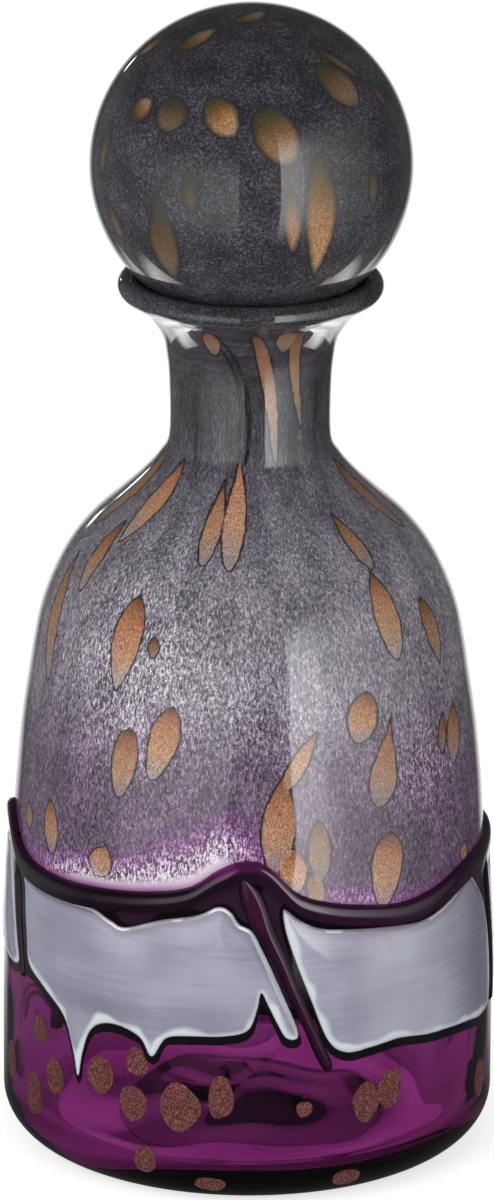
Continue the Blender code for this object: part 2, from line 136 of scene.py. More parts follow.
def new_material(name: str) -> tuple[bpy.types.Material, AddNode]:
    """Makes an empty node material.

    Args:
        name: The material's name.

    Returns:
        The material, and what adds a node to it.
    """
    material = bpy.data.materials.new(name)
    material.use_nodes = True
    material.node_tree.nodes.clear()
    return material, partial(add, material.node_tree)


def smooth_line(points: Sequence, pieces: int, closed: bool = False) -> np.ndarray:
    """Draws a Catmull-Rom curve through points.

    Args:
        points: The knots.
        pieces: How many pieces each span gets.
        closed: Whether the last knot joins the first.

    Returns:
        The points of the curve.
    """
    knots = np.array(points, float)
    if closed:
        around = np.vstack([knots[-1:], knots, knots[:2]])
    else:
        around = np.vstack([2 * knots[:1] - knots[1:2], knots, 2 * knots[-1:] - knots[-2:-1]])
    t = np.linspace(0, 1, pieces, endpoint=False)[:, None]
    spans = []
    for a, b, c, d in zip(around, around[1:], around[2:], around[3:]):
        square = (2 * a - 5 * b + 4 * c - d) * t**2
        cube = (3 * b - a - 3 * c + d) * t**3
        spans.append(b + (c - a) * t / 2 + square / 2 + cube / 2)
    line = np.vstack(spans)
    return line if closed else np.vstack([line, knots[-1:]])


def ease(share: np.ndarray) -> np.ndarray:
    """Clamps to 0 to 1 and eases both ends."""
    share = np.clip(share, 0, 1)
    return share * share * (3 - 2 * share)


def bell(value: np.ndarray, middle: float, spread: float) -> np.ndarray:
    """1 at the middle, and falling away on both sides of it over the spread."""
    return np.exp(-(((value - middle) / spread) ** 2))


def waves(turn: np.ndarray, way: np.ndarray, table: Sequence) -> np.ndarray:
    """Adds up waves round the axis, each with its count, start, slant along the way and share."""
    return sum(share * np.sin(count * turn + start + slant * way) for count, start, slant, share in table)


def run_along(line: np.ndarray, stretch: float | np.ndarray = 1.0) -> np.ndarray:
    """How far each point lies along a line, with its steps stretched."""
    steps = np.linalg.norm(np.diff(line, axis=0), axis=1) * stretch
    return np.concatenate([[0], np.cumsum(steps)])


def to_round(points: np.ndarray) -> tuple[np.ndarray, np.ndarray, np.ndarray]:
    """The turn from the front to the right, the radius and the height of each point."""
    x, y, z = points.T
    return np.arctan2(x, -y), np.hypot(x, y), z


def from_round(turn: np.ndarray, radius: np.ndarray, height: np.ndarray) -> np.ndarray:
    """The points at turns from the front, radii and heights, one row each."""
    return np.column_stack([radius * np.sin(turn), -radius * np.cos(turn), height])


def arc(centre: tuple[float, float], radius: float, start: float, end: float, rows: int) -> np.ndarray:
    """Points on an arc in the outline's plane.

    Args:
        centre: Radius and height of the arc's centre.
        radius: The arc's own radius.
        start: The first angle in degrees, 0 pointing away from the axis.
        end: The last angle in degrees.
        rows: How many steps it takes.

    Returns:
        Radius and height of each point.
    """
    angles = np.radians(np.linspace(start, end, rows + 1))
    return np.column_stack([centre[0] + radius * np.cos(angles), centre[1] + radius * np.sin(angles)])


@dataclass(frozen=True)
class Vessel:
    """The outline that the pieces share, in metres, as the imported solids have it.

    The shares of the body are of its radius and its height, those of the shoulder and the flare
    run from one end of it to the other, and the edge has degrees and shares of the cup's height.
    """

    body_radius: float = 0.0708
    body_height: float = 0.185
    shoulder_height: float = 0.025
    neck_radius: float = 0.0231
    neck_length: float = 0.016
    flare_height: float = 0.028
    lip_radius: float = 0.0378
    lip_roll: float = 0.0033
    heel_width: float = 0.016
    heel_height: float = 0.014
    wall: float = 0.003
    cup_height: float = 0.094
    cup_wall: float = 0.0036
    lower_wall: float = 0.0026
    inner_heel: float = 0.009
    edge_step: float = 0.0009
    edge_radius: float = 0.0016
    fit_gap: float = 0.0003
    body_shares: tuple = (
        (1.0, 0.162), (0.999, 0.243), (0.994, 0.324), (0.984, 0.405), (0.974, 0.486), (0.960, 0.568),
        (0.935, 0.649), (0.902, 0.730), (0.869, 0.811), (0.837, 0.865), (0.781, 0.919), (0.717, 0.962),
        (0.633, 1.0),
    )  # fmt: skip
    shoulder_shares: tuple = ((0.64, 0.28), (0.35, 0.52), (0.12, 0.76), (0.0, 1.0))
    flare_shares: tuple = ((0.0, 0.0), (0.08, 0.33), (0.19, 0.50), (0.42, 0.65), (0.72, 0.79))
    fade_shares: tuple = (0.50, 1.45)
    edge_shares: tuple = (
        (-176, 0.980), (-160, 1.030), (-144, 1.090), (-128, 1.030), (-112, 0.985), (-98, 1.020),
        (-84, 1.080), (-73, 1.005), (-65, 0.972), (-51, 0.965), (-38, 0.975), (-24, 0.996), (-14, 1.026),
        (-7, 1.085), (-1, 1.114), (5, 1.096), (12, 1.010), (20, 0.972), (27, 0.953), (39, 0.930),
        (49, 0.938), (57, 0.957), (64, 0.975), (73, 0.985), (84, 0.985), (96, 0.990), (110, 0.972),
        (124, 0.965), (138, 1.010), (149, 1.085), (160, 1.025), (172, 0.980),
    )  # fmt: skip

    @property
    def neck_base(self) -> float:
        """Height where the shoulder runs out into the neck."""
        return self.body_height + self.shoulder_height

    @property
    def neck_top(self) -> float:
        """Height where the neck starts to flare."""
        return self.neck_base + self.neck_length

    @property
    def lip_centre(self) -> tuple[float, float]:
        """Radius and height of the centre of the lip's roll."""
        return self.lip_radius - self.lip_roll, self.neck_top + self.flare_height

    @property
    def full_wall(self) -> float:
        """The cup's wall and the bottle's hidden wall together."""
        return self.cup_wall + self.fit_gap + self.lower_wall

    def side_line(self) -> np.ndarray:
        """Draws the outside from the heel up to the lip's roll.

        Returns:
            Radius and height of each point.
        """
        knots = [(self.body_radius, self.heel_height)]
        knots += [(r * self.body_radius, h * self.body_height) for r, h in self.body_shares]
        last = knots[-1]
        knots += [
            (self.neck_radius + r * (last[0] - self.neck_radius), last[1] + h * self.shoulder_height)
            for r, h in self.shoulder_shares
        ]
        width = self.lip_centre[0] - self.neck_radius
        knots += [
            (self.neck_radius + r * width, self.neck_top + h * self.flare_height)
            for r, h in self.flare_shares
        ]
        return smooth_line(knots, 24)

    def radius(self, height: np.ndarray) -> np.ndarray:
        """Radius of the outside, with the rounded heel.

        Args:
            height: Heights above the foot.

        Returns:
            The radius at each height.
        """
        line = self.side_line()
        drop = np.clip(1 - np.asarray(height) / self.heel_height, 0, 1)
        return np.interp(height, line[:, 1], line[:, 0]) - self.heel_width * (1 - np.sqrt(1 - drop**2))

    def edge(self, turn: np.ndarray) -> np.ndarray:
        """Height of the cup's wavy edge.

        Args:
            turn: Radians from the front, to the right.

        Returns:
            The edge's height at each turn.
        """
        knots = np.array(self.edge_shares)
        line = smooth_line(np.vstack([knots[-2:] - (360, 0), knots, knots[:2] + (360, 0)]), 6)
        return np.interp(np.degrees(turn), line[:, 0], line[:, 1] * self.cup_height)

    def fade(self, height: np.ndarray) -> np.ndarray:
        """How much of the edge's rise each height takes: all at the edge and none far away.

        Args:
            height: Heights above the foot.

        Returns:
            A share from 0 to 1 for each height.
        """
        low, high = (share * self.cup_height for share in self.fade_shares)
        full_from = self.cup_height - 2 * self.edge_radius
        full_to = self.cup_height + self.fit_gap
        below = (height - low) / (full_from - low)
        above = (high - height) / (high - full_to)
        return ease(np.minimum(below, above))


VESSEL = Vessel()


def read_points(mesh: bpy.types.Mesh) -> np.ndarray:
    """Reads where a mesh's vertices are.

    Args:
        mesh: The mesh.

    Returns:
        Their places, one row each.
    """
    flat = np.empty(len(mesh.vertices) * 3)
    mesh.vertices.foreach_get("co", flat)
    return flat.reshape(-1, 3)


def write_points(mesh: bpy.types.Mesh, points: np.ndarray) -> None:
    """Moves the mesh's vertices to new places."""
    mesh.vertices.foreach_set("co", points.ravel())
    mesh.update()


def store(mesh: bpy.types.Mesh, name: str, *columns: np.ndarray | float) -> None:
    """Keeps three numbers for each vertex in an attribute of the mesh.

    Args:
        mesh: The mesh.
        name: The attribute's name.
        columns: Three columns, or values for all of one.
    """
    values = np.column_stack([np.broadcast_to(column, len(mesh.vertices)) for column in columns])
    attribute = mesh.attributes.new(name, "FLOAT_VECTOR", "POINT")
    attribute.data.foreach_set("vector", np.ascontiguousarray(values, np.float32).ravel())


def finished(shape: bmesh.types.BMesh, name: str) -> bpy.types.Mesh:
    """Turns a shape into a mesh.

    Args:
        shape: The bmesh, which is freed.
        name: The mesh's name.

    Returns:
        The mesh.
    """
    mesh = bpy.data.meshes.new(name)
    shape.to_mesh(mesh)
    shape.free()
    return mesh


def raise_face(
    shape: bmesh.types.BMesh, face: bmesh.types.BMFace, height: float
) -> list[bmesh.types.BMVert]:
    """Extrudes a level face upwards.

    Args:
        shape: The bmesh.
        face: The face.
        height: How far it goes.

    Returns:
        The corners of its top.
    """
    grown = bmesh.ops.extrude_face_region(shape, geom=[face])["geom"]
    top = [item for item in grown if isinstance(item, bmesh.types.BMVert)]
    bmesh.ops.translate(shape, verts=top, vec=(0, 0, height))
    return top


def follow_edge(mesh: bpy.types.Mesh) -> None:
    """Raises and lowers a turned wall with the cup's wavy edge.

    Args:
        mesh: The wall's mesh, which is changed.
    """
    turn, radius, height = to_round(read_points(mesh))
    share = np.where(radius > VESSEL.body_radius / 2, VESSEL.fade(height), 0)
    raised = height + (VESSEL.edge(turn) - VESSEL.cup_height) * share
    radius += VESSEL.radius(raised) - VESSEL.radius(height)
    write_points(mesh, from_round(turn, radius, raised))


def turned(name: str, outline: np.ndarray, steps: int, ring: bool = False) -> bpy.types.Mesh:
    """Spins an outline round the vase's axis into a closed mesh.

    Args:
        name: The mesh's name.
        outline: Radius and height of each point, ends on the axis unless it is a ring.
        steps: How many faces go round.
        ring: Whether the outline's last point joins its first.

    Returns:
        The mesh, with its faces pointing out.
    """
    shape = bmesh.new()
    verts = [shape.verts.new((r, 0, z)) for r, z in outline]
    edges = [shape.edges.new(pair) for pair in zip(verts, verts[1:])]
    if ring:
        edges.append(shape.edges.new((verts[-1], verts[0])))
    spun = {"geom": verts + edges, "cent": (0, 0, 0), "axis": (0, 0, 1), "angle": math.tau}
    bmesh.ops.spin(shape, **spun, steps=steps, use_merge=True)
    bmesh.ops.remove_doubles(shape, verts=shape.verts, dist=MM * 0.001)
    if shape.calc_volume(signed=True) < 0:
        bmesh.ops.reverse_faces(shape, faces=shape.faces)
    return finished(shape, name)


def place(
    mesh: bpy.types.Mesh,
    material: bpy.types.Material,
    body: Body,
    nodes: Sequence[str] = (),
) -> None:
    """Puts a finished mesh in the scene as a piece.

    Args:
        mesh: The piece's mesh, already in place.
        material: Its finish.
        body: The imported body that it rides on.
        nodes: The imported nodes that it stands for.
    """
    mesh.materials.append(material)
    mesh.shade_smooth()
    piece = bpy.data.objects.new(mesh.name, mesh)
    bpy.context.scene.collection.objects.link(piece)
    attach(piece, body.value)
    if nodes:
        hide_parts(*nodes)
    LOG.info("%s: %d faces on %s", piece.name, len(mesh.polygons), body.value)


@dataclass(frozen=True)
class Fleck:
    """A copper fleck that was drawn out with the glass, from its top end to its bottom end.

    On the body the ends are degrees from the front and millimetres of height, and on the ball
    they are degrees from the front and degrees above its middle. The width is in millimetres,
    the bulge is where it is widest, and the tone runs from dull olive to bright copper. The bend
    is how many degrees its middle line bows to the right.
    """

    top: tuple[float, float]
    bottom: tuple[float, float]
    width: float
    bulge: float = 0.5
    tone: float = 0.8
    ends: Ends = Ends.DROP
    bend: float = 0.0

    def way(self) -> tuple[np.ndarray, np.ndarray]:
        """Draws its middle line, bowed by the bend.

        Returns:
            Both coordinates of its points.
        """
        t = np.linspace(0, 1, 13)
        across = self.top[0] + (self.bottom[0] - self.top[0]) * t + self.bend * 4 * t * (1 - t)
        return across, self.top[1] + (self.bottom[1] - self.top[1]) * t

    def half_width(self, along: np.ndarray) -> np.ndarray:
        """Half of its width.

        Args:
            along: Shares of the way down it.

        Returns:
            Millimetres at each share.
        """
        share = along ** (math.log(0.5) / math.log(self.bulge))
        upper, lower = self.ends.value
        power = upper + (lower - upper) * along
        return self.width / 2 * np.sin(math.pi * np.clip(share, 0, 1)) ** power


@dataclass(frozen=True)
class Scatter:
    """Flecks for the sides that the photograph doesn't show, drawn by chance.

    The seed makes every run alike. The span is the first and last degrees from the front, the
    rise is where their middles lie, the length is in the units of the rise, and the lean is how
    many degrees their ends may differ. The pairs after them are the least and the most.
    """

    seed: int
    count: int
    span: tuple[float, float]
    rise: tuple[float, float]
    length: float
    lean: float
    spacing: tuple = (0.1, 0.9)
    half_lengths: tuple = (0.3, 0.65)
    widths: tuple = (5.0, 9.5)
    bulges: tuple = (0.4, 0.65)
    tones: tuple = (0.45, 1.0)
    drops: float = 0.7

    def flecks(self) -> list[Fleck]:
        """Draws the flecks by chance.

        Returns:
            The flecks.
        """
        draw = np.random.default_rng(self.seed)
        first, last = self.span
        flecks = []
        for i in range(self.count):
            degrees = first + (last - first) * (i + draw.uniform(*self.spacing)) / self.count
            middle = draw.uniform(*self.rise)
            half = self.length * draw.uniform(*self.half_lengths)
            tilt = draw.uniform(-self.lean, self.lean)
            look = [draw.uniform(*pair) for pair in (self.widths, self.bulges, self.tones)]
            ends = Ends.DROP if draw.random() < self.drops else Ends.ROUND
            top, bottom = (degrees - tilt, middle + half), (degrees + tilt, middle - half)
            flecks.append(Fleck(top, bottom, *look, ends))
        return flecks


def store_flecks(
    mesh: bpy.types.Mesh,
    flecks: Sequence[Fleck],
    scatters: Sequence[Scatter],
    spine_of: Callable[[Fleck], np.ndarray],
) -> None:
    """Stores how each vertex lies to its nearest fleck.

    It is the millimetres outside the nearest outline, the share of the way down it and its tone.

    Args:
        mesh: The piece's mesh.
        flecks: The flecks that the photograph shows.
        scatters: What gives the other sides theirs.
        spine_of: Gives a fleck's middle line on the surface.
    """
    far = 8.0
    points = read_points(mesh)
    outside, down, tone = np.full(len(points), far), np.zeros(len(points)), np.zeros(len(points))
    for fleck in (*flecks, *(fleck for scatter in scatters for fleck in scatter.flecks())):
        spine = spine_of(fleck)
        middle = spine[len(spine) // 2]
        reach = np.linalg.norm(spine - middle, axis=1).max() + (fleck.width + far) * MM
        near = np.nonzero(((points - middle) ** 2).sum(1) < reach**2)[0]
        best, along = np.full(len(near), np.inf), np.zeros(len(near))
        for i, (a, b) in enumerate(zip(spine, spine[1:])):
            way = b - a
            t = np.clip((points[near] - a) @ way / (way @ way), 0, 1)
            gap = np.linalg.norm(points[near] - a - t[:, None] * way, axis=1)
            along = np.where(gap < best, (i + t) / (len(spine) - 1), along)
            best = np.minimum(gap, best)
        past = best / MM - fleck.half_width(along)
        nearer = past < outside[near]
        rows = near[nearer]
        outside[rows], down[rows], tone[rows] = past[nearer], along[nearer], fleck.tone
    store(mesh, "fleck", outside, down, tone)


@dataclass(frozen=True)
class FritGlass:
    """Smoke-grey soda-lime glass, blown, with fine silver frit cased under clear glass.

    The frit is a pale grain in a dark ground, drawn out along the pull of the glass. The clear
    casing gives the sharp, wet gloss. Copper aventurine flecks lie in it with a thin dark line
    round each. Sizes are in millimetres on the stored coordinate. Real frit is about 0.15 mm,
    too fine to show from here, so it is drawn coarser.
    """

    name: str
    grain_size: float = 0.38
    flake_size: float = 0.66
    flake_draw: float = 0.72
    cloud_size: float = 9.0
    streak_size: float = 2.4
    streak_draw: float = 0.12
    pit_size: float = 2.1
    wander_size: float = 2.2
    glitter_size: float = 0.42
    ramp: tuple = (
        (0.0, "#141317"), (0.3, "#2F2D32"), (0.5, "#5B5860"), (0.68, "#8E8992"), (0.84, "#C6C1C9"),
        (1.0, "#F2EEF4"),
    )  # fmt: skip
    sparks: tuple = ((0.1, "#7A3A86"), (0.45, "#B060BA"), (0.68, "#DDA4E0"), (0.86, "#F8E8F8"))
    mauve: str = "#FFDCFC"
    magenta: str = "#8C2C86"
    copper: tuple = (
        (0.0, "#20181A"), (0.07, "#84583F"), (0.3, "#B07A5A"), (0.7, "#BE9474"), (1.0, "#ACA09A"),
    )  # fmt: skip
    glitter: tuple = ((0.34, "#747474"), (0.5, "#B8B8B8"), (0.64, "#FAFAFA"))
    olive: str = "#3A372C"
    line: str = "#17141A"
    halo: float = 0.35
    gloss: float = 1.0

    def build(self) -> bpy.types.Material:
        """Makes the material: the grain and its colours, the painted glow over the cup, and the flecks.

        Returns:
            The material.
        """
        material, node = new_material(self.name)
        pulled = node("Attribute", attribute_name="pulled").outputs["Vector"]
        size = {"Scale": 1 / self.grain_size, "Detail": 2.0, "Roughness": 0.7}
        grain = node("TexNoise", {"Vector": pulled, **size})
        slim = node("Mapping", {"Vector": pulled, "Scale": (1.0, 1.0, self.flake_draw)})
        size = {"Scale": 1 / self.flake_size, "Detail": 1.0, "Roughness": 0.5, "Distortion": 0.5}
        flake = node("TexNoise", {"Vector": slim, **size})
        both = node("Mix", {0: 0.5, 2: grain, 3: flake})
        colour = self.add_frit(node, pulled, both)
        colour = self.add_glow(node, both, colour)
        colour = self.add_flecks(node, pulled, colour)
        shine = {"Specular IOR Level": 0.1, "Coat Weight": self.gloss, "Coat Roughness": 0.02}
        node("OutputMaterial", [node("BsdfPrincipled", {"Base Color": colour, **CASED, **shine})])
        return material

    def add_frit(
        self, node: AddNode, pulled: bpy.types.NodeSocket, grain: bpy.types.Node
    ) -> bpy.types.Node:
        """Colours the grain, with faint clouds, drawn streaks and small dark pits.

        Args:
            node: Adds a node to the material.
            pulled: The pattern's coordinate.
            grain: The frit's grain.

        Returns:
            The frit's colour.
        """
        spot = node("Attribute", attribute_name="spot").outputs["Vector"]
        level, contrast, warmth = node("SeparateXYZ", [spot]).outputs
        lit = node("Attribute", attribute_name="lit").outputs["Vector"]
        streak = node("SeparateXYZ", [lit]).outputs[1]
        size = {"Scale": 1 / self.cloud_size, "Detail": 2.0, "Roughness": 0.5}
        cloud = node("TexNoise", {"Vector": pulled, **size})
        cloudy = node("MapRange", (cloud, 0.35, 0.65, -0.05, 0.05))
        long_way = node("Mapping", {"Vector": pulled, "Scale": (1.0, 1.0, self.streak_draw)})
        size = {"Scale": 1 / self.streak_size, "Detail": 3.0, "Roughness": 0.6}
        drawn = node("TexNoise", {"Vector": long_way, **size})
        streaky = node("MapRange", (drawn, 0.38, 0.55, -1.0, 0.0))
        shade = node("Math", (streaky, streak, cloudy), operation="MULTIPLY_ADD")
        spread = node("Math", (grain, 0.5), operation="SUBTRACT")
        grainy = node("Math", (spread, contrast, level), operation="MULTIPLY_ADD")
        frit = node("ValToRGB", [node("Math", (grainy, shade), operation="ADD")], self.ramp)
        cells = node("TexVoronoi", {"Vector": pulled, "Scale": 1 / self.pit_size})
        pit = node("MapRange", (cells, 0.2, 0.08))
        pitted = node("Math", (pit, warmth), operation="MULTIPLY")
        dotted = node("Mix", {0: pitted, 6: frit, 7: self.line}, data_type="RGBA")
        tint = {0: warmth, 6: dotted, 7: self.mauve}
        return node("Mix", tint, data_type="RGBA", blend_type="MULTIPLY")

    def add_glow(self, node: AddNode, grain: bpy.types.Node, colour: bpy.types.Node) -> bpy.types.Node:
        """Paints a glow of light through the glass over the cup's edge, and its magenta fringe at its foot.

        Args:
            node: Adds a node to the material.
            grain: The frit's grain.
            colour: The colour so far.

        Returns:
            The new colour.
        """
        lit = node("Attribute", attribute_name="lit").outputs["Vector"]
        glow, _, fringe = node("SeparateXYZ", [lit]).outputs
        glint = node("MapRange", (grain, 0.45, 0.55))
        near = node("MapRange", (glow, 0.82, 1.0))
        held = node("Math", (glint, near), operation="MAXIMUM")
        reached = node("MapRange", (glow, 0.0, 0.6))
        glowing = node("Math", (held, reached), operation="MULTIPLY")
        calm = node("MapRange", (glow, 0.84, 0.98, 2.2, 0.4))
        spread = node("Math", (grain, 0.5), operation="SUBTRACT")
        sparkling = node("Math", (spread, calm, glow), operation="MULTIPLY_ADD")
        sparks = node("ValToRGB", [sparkling], self.sparks)
        # Painted glow of light through the glass, then its painted magenta fringe.
        bottom = node("Mix", {0: glowing, 6: colour, 7: sparks}, data_type="RGBA")
        return node("Mix", {0: fringe, 6: bottom, 7: self.magenta}, data_type="RGBA")

    def add_flecks(
        self, node: AddNode, pulled: bpy.types.NodeSocket, colour: bpy.types.Node
    ) -> bpy.types.Node:
        """Lays in the copper flecks, each with a ragged dark line round it.

        Args:
            node: Adds a node to the material.
            pulled: The pattern's coordinate.
            colour: The colour so far.

        Returns:
            The new colour.
        """
        fleck = node("Attribute", attribute_name="fleck").outputs["Vector"]
        outside, along, tone = node("SeparateXYZ", [fleck]).outputs
        wander = node("TexNoise", {"Vector": pulled, "Scale": 1 / self.wander_size, "Detail": 2.0})
        ragged = node("Math", (wander, 1.1, outside), operation="MULTIPLY_ADD")
        inside = node("MapRange", (ragged, 0.62, 0.36))
        ring = node("MapRange", (ragged, 1.15, 0.72))
        size = {"Scale": 1 / self.glitter_size, "Detail": 2.0, "Roughness": 0.8}
        grit = node("TexNoise", {"Vector": pulled, **size})
        copper = node("ValToRGB", [along], self.copper)
        bright = node("ValToRGB", [grit], self.glitter)
        metal = node("Mix", {0: 0.85, 6: copper, 7: bright}, data_type="RGBA", blend_type="OVERLAY")
        deep = node("MapRange", (ragged, 0.5, 0.5 - self.halo))
        toned = node("Math", (tone, deep), operation="MULTIPLY")
        dull = node("Mix", {0: toned, 6: self.olive, 7: metal}, data_type="RGBA")
        round_it = node("Math", (ring, inside), operation="SUBTRACT")
        lined = node("Mix", {0: round_it, 6: colour, 7: self.line}, data_type="RGBA")
        faded = node("MapRange", (along, 0.6, 1.0, 1.0, 0.55))
        solid = node("Math", (inside, faded), operation="MULTIPLY")
        return node("Mix", {0: solid, 6: lined, 7: dull}, data_type="RGBA")


@dataclass(frozen=True)
class AmethystGlass:
    """Transparent amethyst glass, gathered and blown, with a fire-polished surface.

    It is clear and takes its colour from its depth, so that the thick heel goes nearly black
    and a thin wall glows magenta. What it keeps is of linear red, green and blue.
    """

    name: str = "amethyst_cased_glass"
    kept: tuple = (0.53, 0.0, 0.46, 1.0)
    density: float = 256.0

    def build(self) -> bpy.types.Material:
        """Makes the material.

        Returns:
            The material.
        """
        material, node = new_material(self.name)
        inputs = {"Base Color": WHITE, "Roughness": 0.02, "IOR": GLASS_IOR, "Transmission Weight": 1.0}
        depth = node("VolumeAbsorption", {"Color": self.kept, "Density": self.density})
        node("OutputMaterial", {"Surface": node("BsdfPrincipled", inputs), "Volume": depth})
        return material


@dataclass(frozen=True)
class DarkAmethystGlass:
    """Amethyst glass in a thick trail or roll, which is nearly black and very glossy.

    Away from its rims, and in faint clouds, some colour shows; on the roll's hump that colour is a
    painted glow. It has its gloss away from its rims.
    """

    name: str = "amethyst_trail_glass"
    colour: str = "#170616"
    # Shows away from the rims; on the roll this colour is a painted glow.
    thin: str = "#3A1030"
    gloss: float = 0.5
    cloud_size: float = 6 * MM

    def build(self) -> bpy.types.Material:
        """Makes the material.

        Returns:
            The material.
        """
        material, node = new_material(self.name)
        place_at = node("TexCoord").outputs["Object"]
        cloud = node("TexNoise", {"Vector": place_at, "Scale": 1 / self.cloud_size, "Detail": 1.0})
        cloudy = node("MapRange", (cloud, 0.3, 0.55, 0.4))
        stored = node("Attribute", attribute_name="rim").outputs["Vector"]
        rim = node("SeparateXYZ", [stored]).outputs[0]
        inward = node("MapRange", (rim, 0.5, 1.5))
        share = node("Math", (cloudy, inward), operation="MULTIPLY")
        colour = node("Mix", {0: share, 6: self.colour, 7: self.thin}, data_type="RGBA")
        proud = node("MapRange", (rim, 0.05, 0.3, 0.0, self.gloss))
        shine = {"Specular IOR Level": 0.05, "Coat Weight": proud, "Coat Roughness": 0.0}
        node("OutputMaterial", [node("BsdfPrincipled", {"Base Color": colour, **CASED, **shine})])
        return material


@dataclass(frozen=True)
class OpalGlass:
    """Pale opal glass, laid on hot and marvered in, so that it is glossy and faintly streaked.

    The streaks run round the vase, as the hot patch was rolled. Its drips and lower rims are
    drawn thin and milky, partly with a painted highlight. Its upper rims have a painted shade inside
    them and painted white glints, and past the rim lies a painted shadow.
    """

    name: str = "opal_glass_patch"
    body: tuple = ((0.3, "#9292A4"), (0.5, "#A7A7BA"), (0.7, "#BABBCE"))
    # Paler grey of painted light.
    thick: str = "#D2D3E0"
    # Milky rim colour, partly the opal's own and partly a painted highlight.
    rim: str = "#E2EAEE"
    # Purple-brown of the painted shade inside the upper rims.
    warm: str = "#6C5866"
    # Near-black of the painted shadow past the rim.
    dark: str = "#0E060F"
    # Darker grey of painted shade.
    deep: str = "#6A6879"
    streak_length: float = 30 * MM
    streak_width: float = 1.6 * MM
    cloud_size: float = 19 * MM
    wander_size: float = 11 * MM

    def build(self) -> bpy.types.Material:
        """Makes the material: its body, its rims from the outline inwards, and the painted shadow past them.

        Returns:
            The material.
        """
        material, node = new_material(self.name)
        place_at = node("TexCoord").outputs["Object"]
        stored = node("Attribute", attribute_name="rim").outputs["Vector"]
        inside, below, tone = node("SeparateXYZ", [stored]).outputs
        body = self.add_body(node, place_at, tone)
        wander = node("TexNoise", {"Vector": place_at, "Scale": 1 / self.wander_size, "Detail": 1.0})
        uneven = node("MapRange", (wander, 0.35, 0.65, -0.7, 0.6))
        reach = node("MapRange", (below, -0.4, 0.6, 0.25, 1.8))
        inward = node("Math", (uneven, reach, inside), operation="MULTIPLY_ADD")
        # Painted shade: a purple-brown tint just inside the upper rims, as on a rounded top edge.
        above = node("MapRange", (below, 0.3, -0.5, 0.0, 0.5))
        shaded = node("MapRange", (inward, 3.2, 0.8))
        toned = node("Math", (shaded, above), operation="MULTIPLY")
        rim_shaded = node("Mix", {0: toned, 6: body, 7: self.warm}, data_type="RGBA")
        # The milky rim is the opal's own thin edge, partly brightened as a painted highlight.
        thin = node("Math", (reach, inward), operation="SUBTRACT")
        milky = node("MapRange", (thin, -0.9, 0.5))
        edged = node("Mix", {0: milky, 6: rim_shaded, 7: self.rim}, data_type="RGBA")
        # Painted highlight: white glints along parts of the upper rims.
        glint = node("MapRange", (below, -0.6, -0.9))
        narrow = node("MapRange", (inside, 0.95, 0.7))
        here = node("MapRange", (wander, 0.5, 0.54))
        for part in (narrow, here):
            glint = node("Math", (glint, part), operation="MULTIPLY")
        glinting = node("Mix", {0: glint, 6: edged, 7: WHITE}, data_type="RGBA")
        # Past the outline, the skirt is painted near-black without gloss: a painted shadow.
        outside = node("MapRange", (inside, 0.12, -0.12))
        colour = node("Mix", {0: outside, 6: glinting, 7: self.dark}, data_type="RGBA")
        glossy = node("Math", (1.0, outside), operation="SUBTRACT")
        shine = {"Specular IOR Level": 0.05, "Coat Weight": glossy, "Coat Roughness": 0.02}
        node("OutputMaterial", [node("BsdfPrincipled", {"Base Color": colour, **CASED, **shine})])
        return material

    def add_body(
        self, node: AddNode, place_at: bpy.types.NodeSocket, tone: bpy.types.NodeSocket
    ) -> bpy.types.Node:
        """The streaked grey of the patch, lightened by painted light and darkened by painted shade.

        Args:
            node: Adds a node to the material.
            place_at: The place on the patch.
            tone: How much painted light it has, or below nought how much painted shade.

        Returns:
            The colour.
        """
        scale = (1 / self.streak_length, 1 / self.streak_length, 1 / self.streak_width)
        stretched = node("Mapping", {"Vector": place_at, "Scale": scale})
        size = {"Scale": 1.0, "Detail": 4.0, "Roughness": 0.7}
        streak = node("TexNoise", {"Vector": stretched, **size})
        cloud = node("TexNoise", {"Vector": place_at, "Scale": 1 / self.cloud_size, "Detail": 2.0})
        body = node("ValToRGB", [node("Mix", {0: 0.6, 2: streak, 3: cloud})], self.body)
        # Painted light where the tone is above nought, painted shade where it is below.
        body = node("Mix", {0: tone, 6: body, 7: self.thick}, data_type="RGBA")
        shade_share = node("Math", (tone, -1.0), operation="MULTIPLY", use_clamp=True)
        return node("Mix", {0: shade_share, 6: body, 7: self.deep}, data_type="RGBA")


@dataclass(frozen=True)
class Aventurine:
    """Copper aventurine glass: dense copper platelets in clear glass, with a sandy glitter."""

    name: str = "copper_aventurine"
    grit_size: float = 0.5 * MM
    ramp: tuple = ((0.35, "#46301F"), (0.5, "#7E583A"), (0.66, "#D6AC80"))

    def build(self) -> bpy.types.Material:
        """Makes the material.

        Returns:
            The material.
        """
        material, node = new_material(self.name)
        size = {"Scale": 1 / self.grit_size, "Detail": 2.0, "Roughness": 0.75}
        grit = node("TexNoise", {"Vector": node("TexCoord").outputs["Object"], **size})
        colour = node("ValToRGB", [grit], self.ramp)
        shader = node("BsdfPrincipled", {"Base Color": colour, "Roughness": 0.4, "Metallic": 0.3})
        node("OutputMaterial", [shader])
        return material


